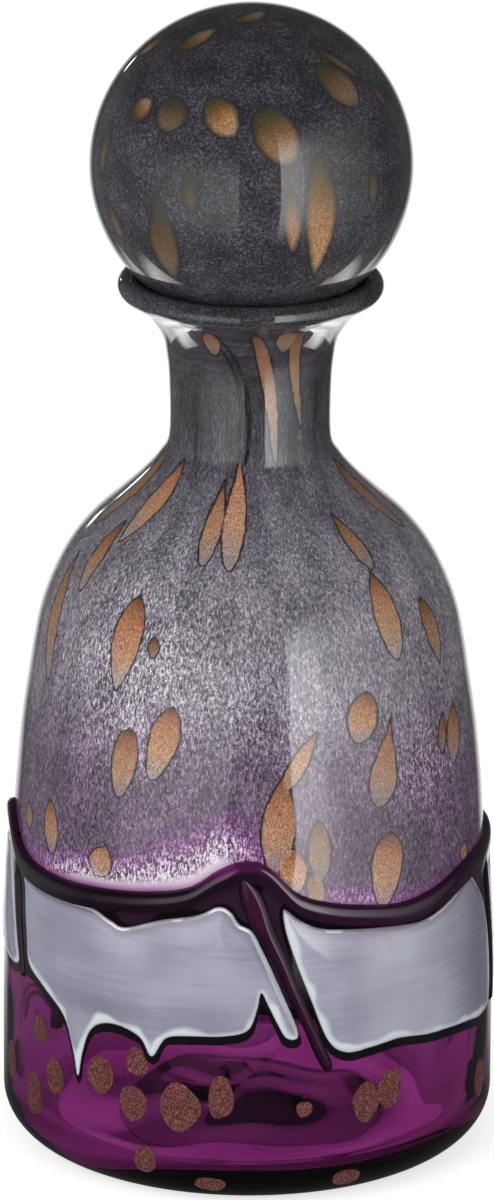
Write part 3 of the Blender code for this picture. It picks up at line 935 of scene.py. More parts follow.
@dataclass(frozen=True)
class FritBottle:
    """The blown bottle of frit glass, with its shoulder, neck and rolled lip.

    Its pattern is drawn in and out where the neck was pulled. The arc of the lip has its first and
    last degrees and its rows. The profiles of its look pair a height in millimetres with a value.
    A place where the frit glitters has degrees, their spread, a height, its spread and an amount.
    This glitter is painted sparkle where the soft boxes light the frit, and is given alike on the hidden
    sides.
    A lobe of the painted glow has degrees and their spread.
    """

    low_end: float = 0.058
    under_cup: float = 0.00355
    steps: int = 380
    row: float = 1.25 * MM
    low_row: float = 0.6 * MM
    hidden_row: float = 3 * MM
    inner_row: float = 12 * MM
    lip_arc: tuple = (-70, 180, 20)
    pull_neck: float = 0.7
    pull_from: float = 0.8
    draw_out: float = 0.6
    levels: tuple = (
        (60, 0.42), (92, 0.51), (118, 0.53), (134, 0.58), (150, 0.63), (172, 0.63), (186, 0.60),
        (200, 0.53), (212, 0.40), (232, 0.35), (260, 0.33),
    )  # fmt: skip
    contrasts: tuple = ((90, 1.4), (120, 1.2), (150, 1.3), (185, 1.3), (210, 1.1), (260, 1.1))
    warmths: tuple = ((90, 0.9), (112, 0.9), (128, 0.7), (142, 0.3), (165, 0.12), (200, 0.0))
    streaks: tuple = ((190, 0.0), (212, 0.06), (228, 0.06), (246, 0.0))
    glitter: tuple = (
        (-33, 20, 152, 26, 1.0), (50, 13, 124, 12, 0.9), (4, 18, 146, 16, 0.4),
        (115, 28, 148, 26, 0.9), (175, 24, 125, 20, 0.7), (-130, 30, 155, 28, 0.9),
    )  # fmt: skip
    left_lobe: tuple = (-38, 22)
    right_lobe: tuple = (28, 16)
    middle_lobe: tuple = (-12, 15)
    glow_height: float = 7
    hidden_from: float = 75
    flecks: tuple = (
        Fleck((-50.4, 206.8), (-55.9, 185.1), 7.0, 0.55, 0.95, Ends.POINTED),
        Fleck((-6.4, 212.0), (-7.3, 183.5), 6.3, 0.68, 1.0),
        Fleck((-15.6, 203.7), (-17.1, 184.2), 5.4, 0.62, 0.85),
        Fleck((-61.8, 189.7), (-61.4, 171.0), 5.6, 0.5, 0.7),
        Fleck((-73.9, 178.7), (-65.9, 144.0), 6.5, 0.5, 0.7),
        Fleck((-76.0, 207.5), (-80.1, 185.2), 6.0, 0.5, 0.6),
        Fleck((41.8, 194.6), (45.4, 180.7), 5.4, 0.6, 0.6),
        Fleck((43.5, 180.2), (44.2, 156.5), 8.6, 0.5, 0.9),
        Fleck((60.6, 169.9), (61.9, 150.8), 7.0, 0.42, 0.65, Ends.POINTED),
        Fleck((71.3, 205.0), (78.5, 185.0), 6.0, 0.5, 0.5),
        Fleck((-35.5, 175.1), (-37.4, 148.7), 9.5, 0.42, 1.0, Ends.POINTED),
        Fleck((-27.6, 165.6), (-27.0, 159.8), 3.1, 0.5, 0.45),
        Fleck((-32.0, 139.0), (-33.7, 119.2), 8.0, 0.42, 0.85, Ends.ROUND),
        Fleck((-19.9, 147.2), (-24.8, 125.9), 8.9, 0.42, 1.0),
        Fleck((-57.3, 112.5), (-55.4, 95.9), 7.0, 0.5, 0.8),
        Fleck((-36.2, 105.4), (-39.5, 95.0), 8.5, 0.62, 0.85),
        Fleck((32.4, 149.7), (29.1, 136.0), 9.8, 0.5, 0.95, Ends.ROUND),
        Fleck((39.9, 143.2), (33.8, 116.9), 9.4, 0.72, 0.8),
        Fleck((59.6, 137.2), (57.4, 125.9), 3.8, 0.5, 0.5),
        Fleck((66.1, 137.8), (62.3, 121.5), 8.0, 0.5, 0.7),
        Fleck((18.2, 141.4), (8.0, 124.0), 5.0, 0.6, 0.9),
        Fleck((8.8, 129.5), (6.2, 101.0), 9.7, 0.55, 0.88),
        Fleck((17.2, 116.1), (17.8, 97.8), 7.1, 0.5, 0.45),
        Fleck((11.2, 107.7), (10.4, 94.0), 8.1, 0.5, 1.0, Ends.ROUND),
        Fleck((15.3, 100.9), (17.4, 89.6), 5.8, 0.5, 0.6),
        Fleck((36.8, 109.0), (34.0, 87.0), 11.0, 0.4, 1.0),
        Fleck((65.7, 97.7), (64.8, 90.5), 5.4, 0.5, 0.7),
        Fleck((-69.0, 107.7), (-67.3, 99.1), 5.4, 0.5, 0.6),
        Fleck((0.5, 250.0), (18.0, 207.5), 4.0, 0.33, 0.62, bend=4.5),
        Fleck((-25.0, 251.0), (-3.0, 208.0), 0.5, 0.4, 0.0, bend=11.0),
        Fleck((-37.0, 253.0), (-9.0, 214.0), 0.3, 0.5, 0.0, bend=13.0),
        Fleck((25.5, 250.0), (38.3, 217.2), 3.8, 0.25, 0.6),
        Fleck((19.7, 250.4), (21.0, 241.2), 6.0, 0.5, 0.55),
        Fleck((-22.4, 249.0), (-23.7, 239.7), 5.0, 0.5, 0.5),
        Fleck((-47.7, 256.8), (-43.4, 252.5), 3.2, 0.5, 0.7, Ends.ROUND),
        Fleck((47.7, 256.4), (45.8, 252.0), 3.2, 0.5, 0.8, Ends.ROUND),
    )  # fmt: skip
    scatters: tuple = (
        Scatter(11, 16, (88, 272), (100, 150), 22, 4),
        Scatter(12, 12, (92, 268), (158, 196), 26, 4),
        Scatter(13, 6, (95, 265), (222, 244), 18, 8),
    )

    def outline(self) -> np.ndarray:
        """Draws the wall's section, as a ring.

        Returns:
            Radius and height of each point.
        """
        v = VESSEL
        line = v.side_line()
        hidden = np.arange(self.low_end, v.cup_height - 2 * v.edge_radius, self.hidden_row)
        shown = line[line[:, 1] > v.cup_height + v.fit_gap]
        run = run_along(shown)
        shown = shown[np.searchsorted(run, np.arange(0, run[-1], self.row))]
        low = np.arange(v.cup_height - v.edge_radius, shown[0, 1], self.low_row)
        fade = v.fade(shown[:, 1])
        way = np.gradient(shown, axis=0)
        out = np.column_stack([way[:, 1], -way[:, 0]]) / np.linalg.norm(way, axis=1)[:, None]
        depth = v.wall + (v.cup_wall - v.edge_step) * fade
        inside_low = np.arange(self.low_end, v.cup_height, self.inner_row)[::-1]
        return np.vstack(
            [
                np.column_stack([v.radius(hidden) - self.under_cup, hidden]),
                np.column_stack([v.radius(low) - v.edge_step, low]),
                np.column_stack([shown[:, 0] - v.edge_step * fade, shown[:, 1]]),
                arc(v.lip_centre, v.lip_roll, *self.lip_arc),
                (shown - out * depth[:, None])[::-4],
                np.column_stack([v.radius(inside_low) - v.full_wall, inside_low]),
            ]
        )

    def pulled(self, points: np.ndarray) -> np.ndarray:
        """The pattern's coordinate: drawn out and drawn in where the neck was pulled.

        Args:
            points: Places on the bottle.

        Returns:
            The coordinate of each, in millimetres.
        """
        v = VESSEL
        line = v.side_line()
        start = self.pull_from * v.body_height
        pull = 1 - (1 - self.pull_neck) * ease((line[:, 1] - start) / (v.neck_base - start))
        turn, radius, height = to_round(points)
        run = np.interp(height, line[:, 1], run_along(line, pull[1:]))
        drawn = from_round(turn, np.sqrt(radius * v.body_radius), run * self.draw_out)
        rolled = ease((height - v.neck_top) / v.flare_height)[:, None]
        return (drawn * (1 - rolled) + points * rolled) / MM

    def dress(self, mesh: bpy.types.Mesh) -> None:
        """Stores how pale, grainy and warm the frit is, its streaks, and the painted glow over the cup.

        Args:
            mesh: The bottle's mesh.
        """
        turn, radius, raised = to_round(read_points(mesh))
        angle, height = np.degrees(turn), raised / MM
        above = height - VESSEL.edge(turn) / MM
        profiles = (self.levels, self.contrasts, self.warmths, self.streaks)
        level, contrast, warmth, streak = (np.interp(height, *zip(*rows)) for rows in profiles)
        # Painted sparkle: the frit is paler and grainier where the soft boxes light its glitter.
        glitter = sum(
            amount * bell((angle - middle + 180) % 360 - 180, 0, across) * bell(height, low, tall)
            for middle, across, low, tall, amount in self.glitter
        )
        # The glow and its magenta fringe are painted light, shining through the glass over the cup's edge.
        lobes = (self.left_lobe, self.right_lobe, self.middle_lobe)
        left, right, swell = (bell(angle, *lobe) for lobe in lobes)
        back = 0.6 * np.clip(np.cos(3 * turn + 0.7), 0, 1) * (np.abs(angle) > self.hidden_from)
        reach = self.glow_height + 4 * left + 13 * swell
        amount = np.clip(0.12 + left + 0.5 * right + 0.85 * swell + back, 0, 1)
        glow = np.clip((1 - (above - 1.6) / reach) * amount, 0, 1)
        under = ease(0.2 - above)
        lip_radius, lip_height = VESSEL.lip_centre
        # Painted shade: the lip's inner top under the resting ball is darker.
        shade_under_ball = ease((lip_radius + 2 * MM - radius) / (3 * MM)) * (raised > lip_height)
        level = (level + 0.08 * glitter) * (1 - under) * (1 - 0.7 * shade_under_ball) + 0.2 * under
        fringe = np.clip(2.1 - np.abs(above - 0.2) / 0.9, 0, 0.94) * np.clip(0.4 + left + 0.5 * right, 0, 1)
        store(mesh, "spot", level, (contrast + 1.6 * glitter) * (1 - under), warmth)
        store(mesh, "lit", glow * (1 - under), streak, fringe)

    def build(self, finish: bpy.types.Material) -> None:
        """Makes the bottle and stores what its finish reads.

        Args:
            finish: The frit glass.
        """
        mesh = turned("frit_bottle", self.outline(), self.steps, ring=True)
        follow_edge(mesh)
        self.dress(mesh)
        store(mesh, "pulled", *self.pulled(read_points(mesh)).T)
        store_flecks(mesh, self.flecks, self.scatters, self.spine)
        place(mesh, finish, Body.VASE, ["blown_bottle"])

    def spine(self, fleck: Fleck) -> np.ndarray:
        """A fleck's middle line on the bottle."""
        degrees, height = fleck.way()
        return from_round(np.radians(degrees), VESSEL.radius(height * MM), height * MM)


@dataclass(frozen=True)
class AmethystCup:
    """The cup of clear amethyst glass over the lower third, with the thick base.

    The bead is the roll of its edge, in millimetres out from the wall and up from the edge. The
    sweeps are shares of the punt's and the floor's radius and rise. A wave has how many there
    are in a round, its start and its slant in radians, the slant for each metre, and its share.
    """

    steps: int = 256
    punt_radius: float = 0.036
    punt_depth: float = 0.0025
    push_up: float = 0.006
    low_floor: float = 0.0080
    row: float = 1.5 * MM
    bead_foot: float = 0.013
    bead: tuple = (
        (0.0, -12.5), (0.25, -9.5), (0.7, -6.8), (1.1, -4.4), (1.25, -2.8), (1.1, -1.4), (0.5, -0.4),
        (-0.5, 0.0), (-1.9, 0.1),
    )  # fmt: skip
    punt_sweep: tuple = ((0.78, 0.85), (0.9, 0.4), (0.97, 0.05), (1.0, 0.0))
    floor_sweep: tuple = ((0.9, 0.0), (0.72, 0.12), (0.5, 0.45), (0.28, 0.85), (0.0, 1.0))
    floor_wave: float = 0.0008
    floor_waves: tuple = ((2, 0.6, 0, 1.0), (3, 0.0, -90, 0.8), (5, 0.0, 160, 0.6))
    wall_wave: float = 0.0004
    wall_waves: tuple = ((6, 0.4, 60, 1.0), (9, 2.0, 0, 0.7), (15, 0.0, -120, 0.5))
    roll_height: float = 0.006
    roll_depth: float = 0.0022

    def outline(self, frit: FritBottle) -> np.ndarray:
        """Draws the cup's section, from the middle of the punt round to the middle of the floor.

        Args:
            frit: The bottle that stands in the cup.

        Returns:
            Radius and height of each point.
        """
        v = VESSEL
        foot = v.body_radius - v.heel_width
        heel = np.radians(np.linspace(90, 0, 17))
        side = np.arange(v.heel_height + self.row, v.cup_height - self.bead_foot, self.row)
        bead = smooth_line(self.bead, 5) * MM
        top = v.cup_height + bead[:, 1]
        upper = np.array([v.cup_height - 2 * MM, frit.low_end + 0.4 * MM])
        lower = np.arange(frit.low_end - 1 * MM, self.low_floor + v.inner_heel, -3 * MM)
        corner = v.radius(0.32 * v.cup_height) - v.full_wall - v.inner_heel
        return np.vstack(
            [
                [(0, self.punt_depth), (self.punt_radius * 0.5, self.punt_depth)],
                smooth_line(self.punt_sweep, 3) * (self.punt_radius, self.punt_depth),
                np.column_stack([foot + v.heel_width * np.cos(heel), v.heel_height * (1 - np.sin(heel))]),
                np.column_stack([v.radius(side), side]),
                np.column_stack([v.radius(top) + bead[:, 0], top]),
                np.column_stack([v.radius(upper) - v.cup_wall, upper]),
                np.column_stack([v.radius(lower) - v.full_wall, lower]),
                arc((corner, self.low_floor + v.inner_heel), v.inner_heel, 0, -90, 14),
                smooth_line(self.floor_sweep, 4) * (corner, self.push_up) + (0, self.low_floor),
            ]
        )

    def build(self, finish: bpy.types.Material, roll: bpy.types.Material, frit: FritBottle) -> None:
        """Makes the cup, with a darker finish on the thick roll of its edge.

        Args:
            finish: The clear glass of the cup.
            roll: The finish of the roll.
            frit: The bottle that stands in the cup.
        """
        mesh = turned("amethyst_cup_glass", self.outline(frit), self.steps)
        centres = np.empty(len(mesh.polygons) * 3)
        mesh.polygons.foreach_get("center", centres)
        _, radius, height = to_round(centres.reshape(-1, 3))
        rolled = VESSEL.radius(height) - radius < self.roll_depth
        rolled &= height > VESSEL.cup_height - self.roll_height
        follow_edge(mesh)
        self.make_uneven(mesh)
        self.dress_roll(mesh)
        place(mesh, finish, Body.VASE, ["amethyst_cup"])
        mesh.materials.append(roll)
        mesh.polygons.foreach_set("material_index", rolled.astype(np.int32))

    def make_uneven(self, mesh: bpy.types.Mesh) -> None:
        """Waves the inner floor and the inner wall, as blown glass has them.

        Args:
            mesh: The cup's mesh, which is changed.
        """
        turn, radius, height = to_round(read_points(mesh))
        floor = (radius < VESSEL.body_radius - 8 * MM) & (height > 2 * self.punt_depth) & (height < 30 * MM)
        floor = floor * ease(radius / (20 * MM)) * ease(2 - height / (14 * MM))
        raised = height + self.floor_wave * floor * waves(turn, radius, self.floor_waves)
        wall = VESSEL.radius(height) - radius > 5 * MM
        wall = wall * ease((height - 13 * MM) / (9 * MM)) * ease((57 * MM - height) / (8 * MM))
        radius += self.wall_wave * wall * waves(turn, height, self.wall_waves)
        write_points(mesh, from_round(turn, radius, raised))

    def dress_roll(self, mesh: bpy.types.Mesh) -> None:
        """Stores how the roll looks: a painted magenta glow on its hump, and dull at the left of it.

        Args:
            mesh: The cup's mesh.
        """
        turn, _, height = to_round(read_points(mesh))
        above = (height - VESSEL.edge(turn)) / MM
        # The hump carries a painted magenta glow; the left of the roll is dull.
        hump = bell(np.degrees(turn), -2, 9) * ease((above + 3.5) / 2.5)
        dull = 0.45 * bell(np.degrees(turn), -34, 24)
        store(mesh, "rim", 0.6 + hump - dull, 0, 0)


@dataclass(frozen=True)
class WrappedForm:
    """A flat form of hot glass, softened and wrapped round the cup.

    Its outline has degrees and shares of the cup's height. It stands up to its height over the
    cup, rounded off towards its outline, where it dips under the cup's surface. A hidden skirt
    reaches past the outline, further on lower edges, and on the patches it carries a painted shadow.
    A painted shade has degrees, a share of the height, the spread of both and an amount.
    """

    node: str
    outline: tuple
    depth: float = 1.5 * MM
    height: float = 0.55 * MM
    dip: float = 0.35 * MM
    rounding: float = 1.6
    steepness: float = 0.5
    crown: float = 0.0
    crown_width: float = 9.0
    skirt: tuple = (0.0, 0.0)
    paleness: float = 0.0
    shades: tuple = ()
    voxel: float = 0.45 * MM

    def build(self, finish: bpy.types.Material) -> None:
        """Makes the form: a prism that is melted, rounded and wrapped.

        Args:
            finish: The form's material.
        """
        size = (math.radians(1) * VESSEL.body_radius, VESSEL.cup_height)
        line = smooth_line(np.array(self.outline, float) * size, 6, True)
        way = np.roll(line, -1, axis=0) - np.roll(line, 1, axis=0)
        out = np.column_stack([way[:, 1], -way[:, 0]]) / np.linalg.norm(way, axis=1)[:, None]
        if (line[:, 0] * way[:, 1] - line[:, 1] * way[:, 0]).sum() < 0:
            out = -out
        # The skirt reaches past the outline, and on the patches it carries a painted shadow.
        mesh = self.melted(line + out * (self.skirt[0] + self.skirt[1] * np.clip(-out[:, 1:], 0, 1)))
        points = read_points(mesh)
        rim, below = self.from_outline(points, line)
        across, up, level = points.T
        share = np.clip(rim / self.rounding, 0, 1)
        top = (self.height + self.dip) * (1 - (1 - share) ** 2) ** self.steepness - self.dip
        top += self.crown * ease(rim / self.crown_width)
        rise = np.clip((level + self.depth) / self.depth, 0, 1)
        turn = across / VESSEL.body_radius
        radius = VESSEL.radius(up) + (rise * (self.depth + top) - self.depth)
        # The tone is painted light from the paleness, less painted shade from the shades.
        tone = self.paleness - sum(
            amount * bell(np.degrees(turn), degrees, wide) * bell(up / VESSEL.cup_height, middle, tall)
            for degrees, middle, wide, tall, amount in self.shades
        )
        store(mesh, "rim", rim, below, tone)
        write_points(mesh, from_round(turn, radius, up))
        place(mesh, finish, Body.VASE, [self.node])

    def melted(self, line: np.ndarray) -> bpy.types.Mesh:
        """A prism over an outline, remeshed and smoothed.

        Args:
            line: The flat outline.

        Returns:
            The prism's mesh, between the form's depth and the cup's surface.
        """
        shape = bmesh.new()
        face = shape.faces.new([shape.verts.new((x, y, -self.depth)) for x, y in line])
        raise_face(shape, face, self.depth)
        bmesh.ops.triangulate(shape, faces=shape.faces)
        if shape.calc_volume(signed=True) < 0:
            bmesh.ops.reverse_faces(shape, faces=shape.faces)
        raw = finished(shape, self.node)
        block = bpy.data.objects.new(self.node + "_block", raw)
        bpy.context.scene.collection.objects.link(block)
        remesh = block.modifiers.new("melt", "REMESH")
        remesh.mode = "VOXEL"
        remesh.voxel_size = self.voxel
        soft = block.modifiers.new("soften", "SMOOTH")
        soft.factor = 0.5
        soft.iterations = 3
        graph = bpy.context.evaluated_depsgraph_get()
        mesh = bpy.data.meshes.new_from_object(block.evaluated_get(graph))
        mesh.name = self.node + "_glass"
        bpy.data.objects.remove(block)
        bpy.data.meshes.remove(raw)
        return mesh

    @staticmethod
    def from_outline(points: np.ndarray, line: np.ndarray) -> tuple[np.ndarray, np.ndarray]:
        """How points lie to the outline, seen flat.

        Args:
            points: Places on the form.
            line: The outline.

        Returns:
            Millimetres inside the outline, and 1 where its nearest edge is a lower edge and
            -1 where it is an upper one.
        """
        flat = points[:, :2]
        nearest = np.full(len(flat), np.inf)
        below = np.zeros(len(flat))
        within = np.zeros(len(flat), bool)
        for a, b in zip(line, np.roll(line, -1, axis=0)):
            way = b - a
            t = np.clip((flat - a) @ way / (way @ way), 0, 1)
            gap = flat - a - t[:, None] * way
            length = np.linalg.norm(gap, axis=1)
            below = np.where(length < nearest, gap[:, 1] / np.maximum(length, 1e-9), below)
            nearest = np.minimum(length, nearest)
            spans = (a[1] > flat[:, 1]) != (b[1] > flat[:, 1])
            if a[1] != b[1]:
                within ^= spans & (flat[:, 0] < a[0] + (flat[:, 1] - a[1]) * way[0] / way[1])
        side = np.where(within, 1, -1)
        return nearest * side / MM, below * side


@dataclass(frozen=True)
class OpalPatches:
    """The opal patches, by their outlines and by their painted light and painted shade."""

    outlines: tuple = (
        ("front_left", (
            (-66, 0.940), (-60, 0.920), (-50, 0.910), (-40, 0.912), (-34, 0.885), (-30, 0.873),
            (-21, 0.915), (-12, 0.942), (-7, 0.972), (-4, 0.957), (-2, 0.920), (1, 0.898), (3, 0.850),
            (6, 0.765), (9, 0.672), (11.5, 0.590), (11.5, 0.555), (9, 0.560), (7, 0.605), (5, 0.660),
            (3.2, 0.705), (2.2, 0.650), (0, 0.585), (-6, 0.565), (-13, 0.560), (-19, 0.545), (-22.5, 0.480),
            (-25.5, 0.535), (-31, 0.560), (-36, 0.552), (-39.5, 0.515), (-41.6, 0.440), (-43, 0.360),
            (-44.6, 0.440), (-48, 0.540), (-56, 0.602), (-62.5, 0.645), (-64.5, 0.730), (-66, 0.830),
        )),
        ("front_right", (
            (8.5, 0.965), (12, 0.930), (17, 0.898), (24, 0.884), (37, 0.866), (45, 0.856), (52, 0.871),
            (59, 0.902), (64, 0.932), (70, 0.880), (75.5, 0.800), (78.5, 0.690), (79.5, 0.560), (78, 0.465),
            (72, 0.445), (64, 0.462), (55, 0.478), (47, 0.488), (38, 0.505), (30, 0.498), (23.5, 0.495),
            (19, 0.540), (15, 0.670), (11.3, 0.800), (9, 0.895),
        )),
        ("right", (
            (84.5, 0.860), (92, 0.920), (104, 0.900), (118, 0.885), (132, 0.905), (142, 0.925),
            (145.5, 0.850), (146.5, 0.700), (145, 0.560), (139, 0.505), (128, 0.530), (121, 0.500),
            (118, 0.400), (115, 0.500), (106, 0.525), (95, 0.500), (87.5, 0.475), (85, 0.600), (85, 0.720),
        )),
        ("back", (
            (152.5, 0.895), (160, 0.930), (172, 0.890), (186, 0.870), (200, 0.910), (209, 0.935),
            (212, 0.840), (211.5, 0.680), (212, 0.560), (205, 0.505), (196, 0.485), (192, 0.395),
            (188.5, 0.490), (178, 0.530), (166, 0.505), (156.5, 0.530), (153, 0.620), (152, 0.760),
        )),
        ("left", (
            (-140, 0.915), (-128, 0.950), (-114, 0.905), (-100, 0.930), (-88, 0.965), (-80, 0.955),
            (-76.5, 0.890), (-74, 0.800), (-71, 0.700), (-69, 0.625), (-75, 0.605), (-84, 0.625),
            (-96, 0.570), (-102.5, 0.520), (-106, 0.410), (-109.5, 0.515), (-120, 0.550), (-132, 0.525),
            (-139.5, 0.580), (-141.5, 0.750),
        )),
    )  # fmt: skip
    # Paleness is painted light, and the shades are painted shade.
    paleness: tuple = (("front_right", 0.35), ("back", 0.3))
    shades: tuple = (
        ("front_left", ((-40, 0.62, 17, 0.07, 0.5), (-10, 0.60, 18, 0.06, 0.35), (-46, 0.80, 9, 0.09, 0.25))),
        ("front_right", ((68, 0.70, 13, 0.5, 1.0), (16, 0.60, 12, 0.12, 0.55), (22, 0.84, 8, 0.10, 0.5))),
        ("right", ((100, 0.62, 14, 0.1, 0.5), (132, 0.75, 12, 0.15, 0.4))),
        ("back", ((165, 0.62, 12, 0.1, 0.5), (200, 0.72, 12, 0.15, 0.6))),
        ("left", ((-125, 0.66, 14, 0.12, 0.5), (-90, 0.72, 10, 0.1, 0.4))),
    )
    crown: float = 0.3 * MM
    # The skirt carries the painted shadow under each patch's edges, longest below.
    skirt: tuple = (0.3 * MM, 2.5 * MM)

    def build(self, finish: bpy.types.Material) -> None:
        """Makes every patch.

        Args:
            finish: The opal glass.
        """
        paleness, shades = dict(self.paleness), dict(self.shades)
        for side, outline in self.outlines:
            look = {"paleness": paleness.get(side, 0.0), "shades": shades[side]}
            form = WrappedForm("opal_patch_" + side, outline, crown=self.crown, skirt=self.skirt, **look)
            form.build(finish)


@dataclass(frozen=True)
class AmethystTrails:
    """The trails between the patches: degrees, shares of the cup's height, half widths in mm."""

    lines: tuple = (
        ("front", (
            (-1.2, 1.075, 1.5), (0.4, 1.025, 3.1), (1.8, 0.970, 3.7), (3.8, 0.900, 3.3), (7.5, 0.810, 2.5),
            (11.2, 0.690, 2.1), (14.6, 0.585, 1.9), (17.2, 0.505, 2.0), (18.8, 0.455, 1.6),
        )),
        ("right", (
            (77.5, 0.940, 1.8), (80.3, 0.820, 1.5), (81.8, 0.690, 1.4), (82.3, 0.560, 1.4),
            (82.2, 0.455, 1.2),
        )),
        ("back_right", (
            (148.5, 1.000, 2.1), (148.7, 0.880, 1.6), (149.3, 0.720, 1.4), (148.8, 0.580, 1.6),
            (147.5, 0.480, 1.2),
        )),
        ("back_left", (
            (-144.3, 1.010, 2.1), (-144.4, 0.880, 1.6), (-145.0, 0.720, 1.5), (-143.8, 0.560, 1.5),
            (-142.0, 0.470, 1.2),
        )),
        ("left", (
            (-74.5, 1.000, 1.8), (-71.3, 0.895, 1.5), (-70.0, 0.800, 1.4), (-67.6, 0.690, 1.4),
            (-65.9, 0.600, 1.2),
        )),
    )  # fmt: skip
    height: float = 1.15 * MM
    rounding: float = 2.4
    steepness: float = 0.8
    voxel: float = 0.35 * MM

    def outline(self, points: Sequence) -> tuple:
        """Turns a trail into an outline.

        Args:
            points: Its middle line and half widths.

        Returns:
            The outline, in the patches' units.
        """
        turn = math.degrees(MM / VESSEL.body_radius)
        rise = MM / VESSEL.cup_height
        left = [(a - half * turn, h) for a, h, half in points]
        right = [(a + half * turn, h) for a, h, half in points]
        top, bottom = points[0], points[-1]
        over, under = (top[0], top[1] + top[2] * rise), (bottom[0], bottom[1] - bottom[2] * rise)
        return (*left[::-1], over, *right, under)

    def build(self, finish: bpy.types.Material) -> None:
        """Makes every trail.

        Args:
            finish: The dark amethyst glass.
        """
        form = {name: getattr(self, name) for name in ("height", "rounding", "steepness", "voxel")}
        for side, points in self.lines:
            WrappedForm("amethyst_trail_" + side, self.outline(points), **form).build(finish)


@dataclass(frozen=True)
class BaseFlecks:
    """Copper flecks that lie in the base, between the bottle and the cup.

    Each is degrees from the front, millimetres of height, width and height in millimetres. The
    hidden ones are drawn by chance between the least and the most of the same.
    """

    depth: float = 0.0016
    thickness: float = 0.0003
    lowest: float = 1.5 * MM
    rows: int = 56
    unevenness: float = 0.05
    spots: tuple = (
        (-57.6, 42.6, 8.0, 8.2), (-51.7, 30.5, 7.5, 11.7), (-60.5, 21.7, 8.5, 13.0),
        (-36.7, 36.0, 9.0, 11.5), (-26.5, 42.4, 7.0, 8.5), (-27.6, 29.7, 8.4, 10.7),
        (-15.9, 30.4, 11.6, 14.6), (-6.1, 34.2, 7.2, 13.0), (-24.5, 13.1, 6.6, 8.0), (-8.8, 7.3, 8.5, 5.0),
        (24.7, 7.6, 8.5, 5.5), (29.0, 30.0, 8.2, 12.0), (35.5, 32.6, 8.0, 12.0), (13.5, 30.3, 4.5, 4.9),
        (72.6, 22.1, 9.0, 11.0), (-74.9, 25.9, 8.0, 12.0),
    )  # fmt: skip
    hidden: int = 18
    hidden_span: tuple = (86, 274)
    hidden_sizes: tuple = ((16, 40), (6, 10), (7, 12))

    def build(self, finish: bpy.types.Material) -> None:
        """Makes the flecks as one piece, the photographed ones and those on the other sides.

        Args:
            finish: The copper aventurine.
        """
        draw = np.random.default_rng(5)
        spots = list(self.spots)
        first, last = self.hidden_span
        for i in range(self.hidden):
            degrees = first + (last - first) * (i + draw.uniform(0.2, 0.8)) / self.hidden
            spots.append((degrees, *(draw.uniform(*pair) for pair in self.hidden_sizes)))
        shape = bmesh.new()
        for degrees, height, width, tall in spots:
            ring = bmesh.ops.create_circle(shape, cap_ends=True, segments=self.rows, radius=0.5)["verts"]
            raised = raise_face(shape, ring[0].link_faces[0], 1)
            uneven = draw.uniform(-1, 1, 3)
            for vert in ring + raised:
                turn = math.atan2(vert.co.y, vert.co.x)
                swell = sum(u * math.sin((k + 2) * turn + 9 * u) for k, u in enumerate(uneven))
                swell = 1 + swell * self.unevenness
                y = max(vert.co.y * tall * swell * MM + height * MM, self.lowest)
                radius = float(VESSEL.radius(y)) - self.depth - vert.co.z * self.thickness
                angle = math.radians(degrees) + vert.co.x * width * swell * MM / radius
                vert.co = (radius * math.sin(angle), -radius * math.cos(angle), y)
        bmesh.ops.recalc_face_normals(shape, faces=shape.faces)
        mesh = finished(shape, "copper_flecks_in_base")
        place(mesh, finish, Body.VASE)
        mesh.set_sharp_from_angle(angle=math.radians(40))


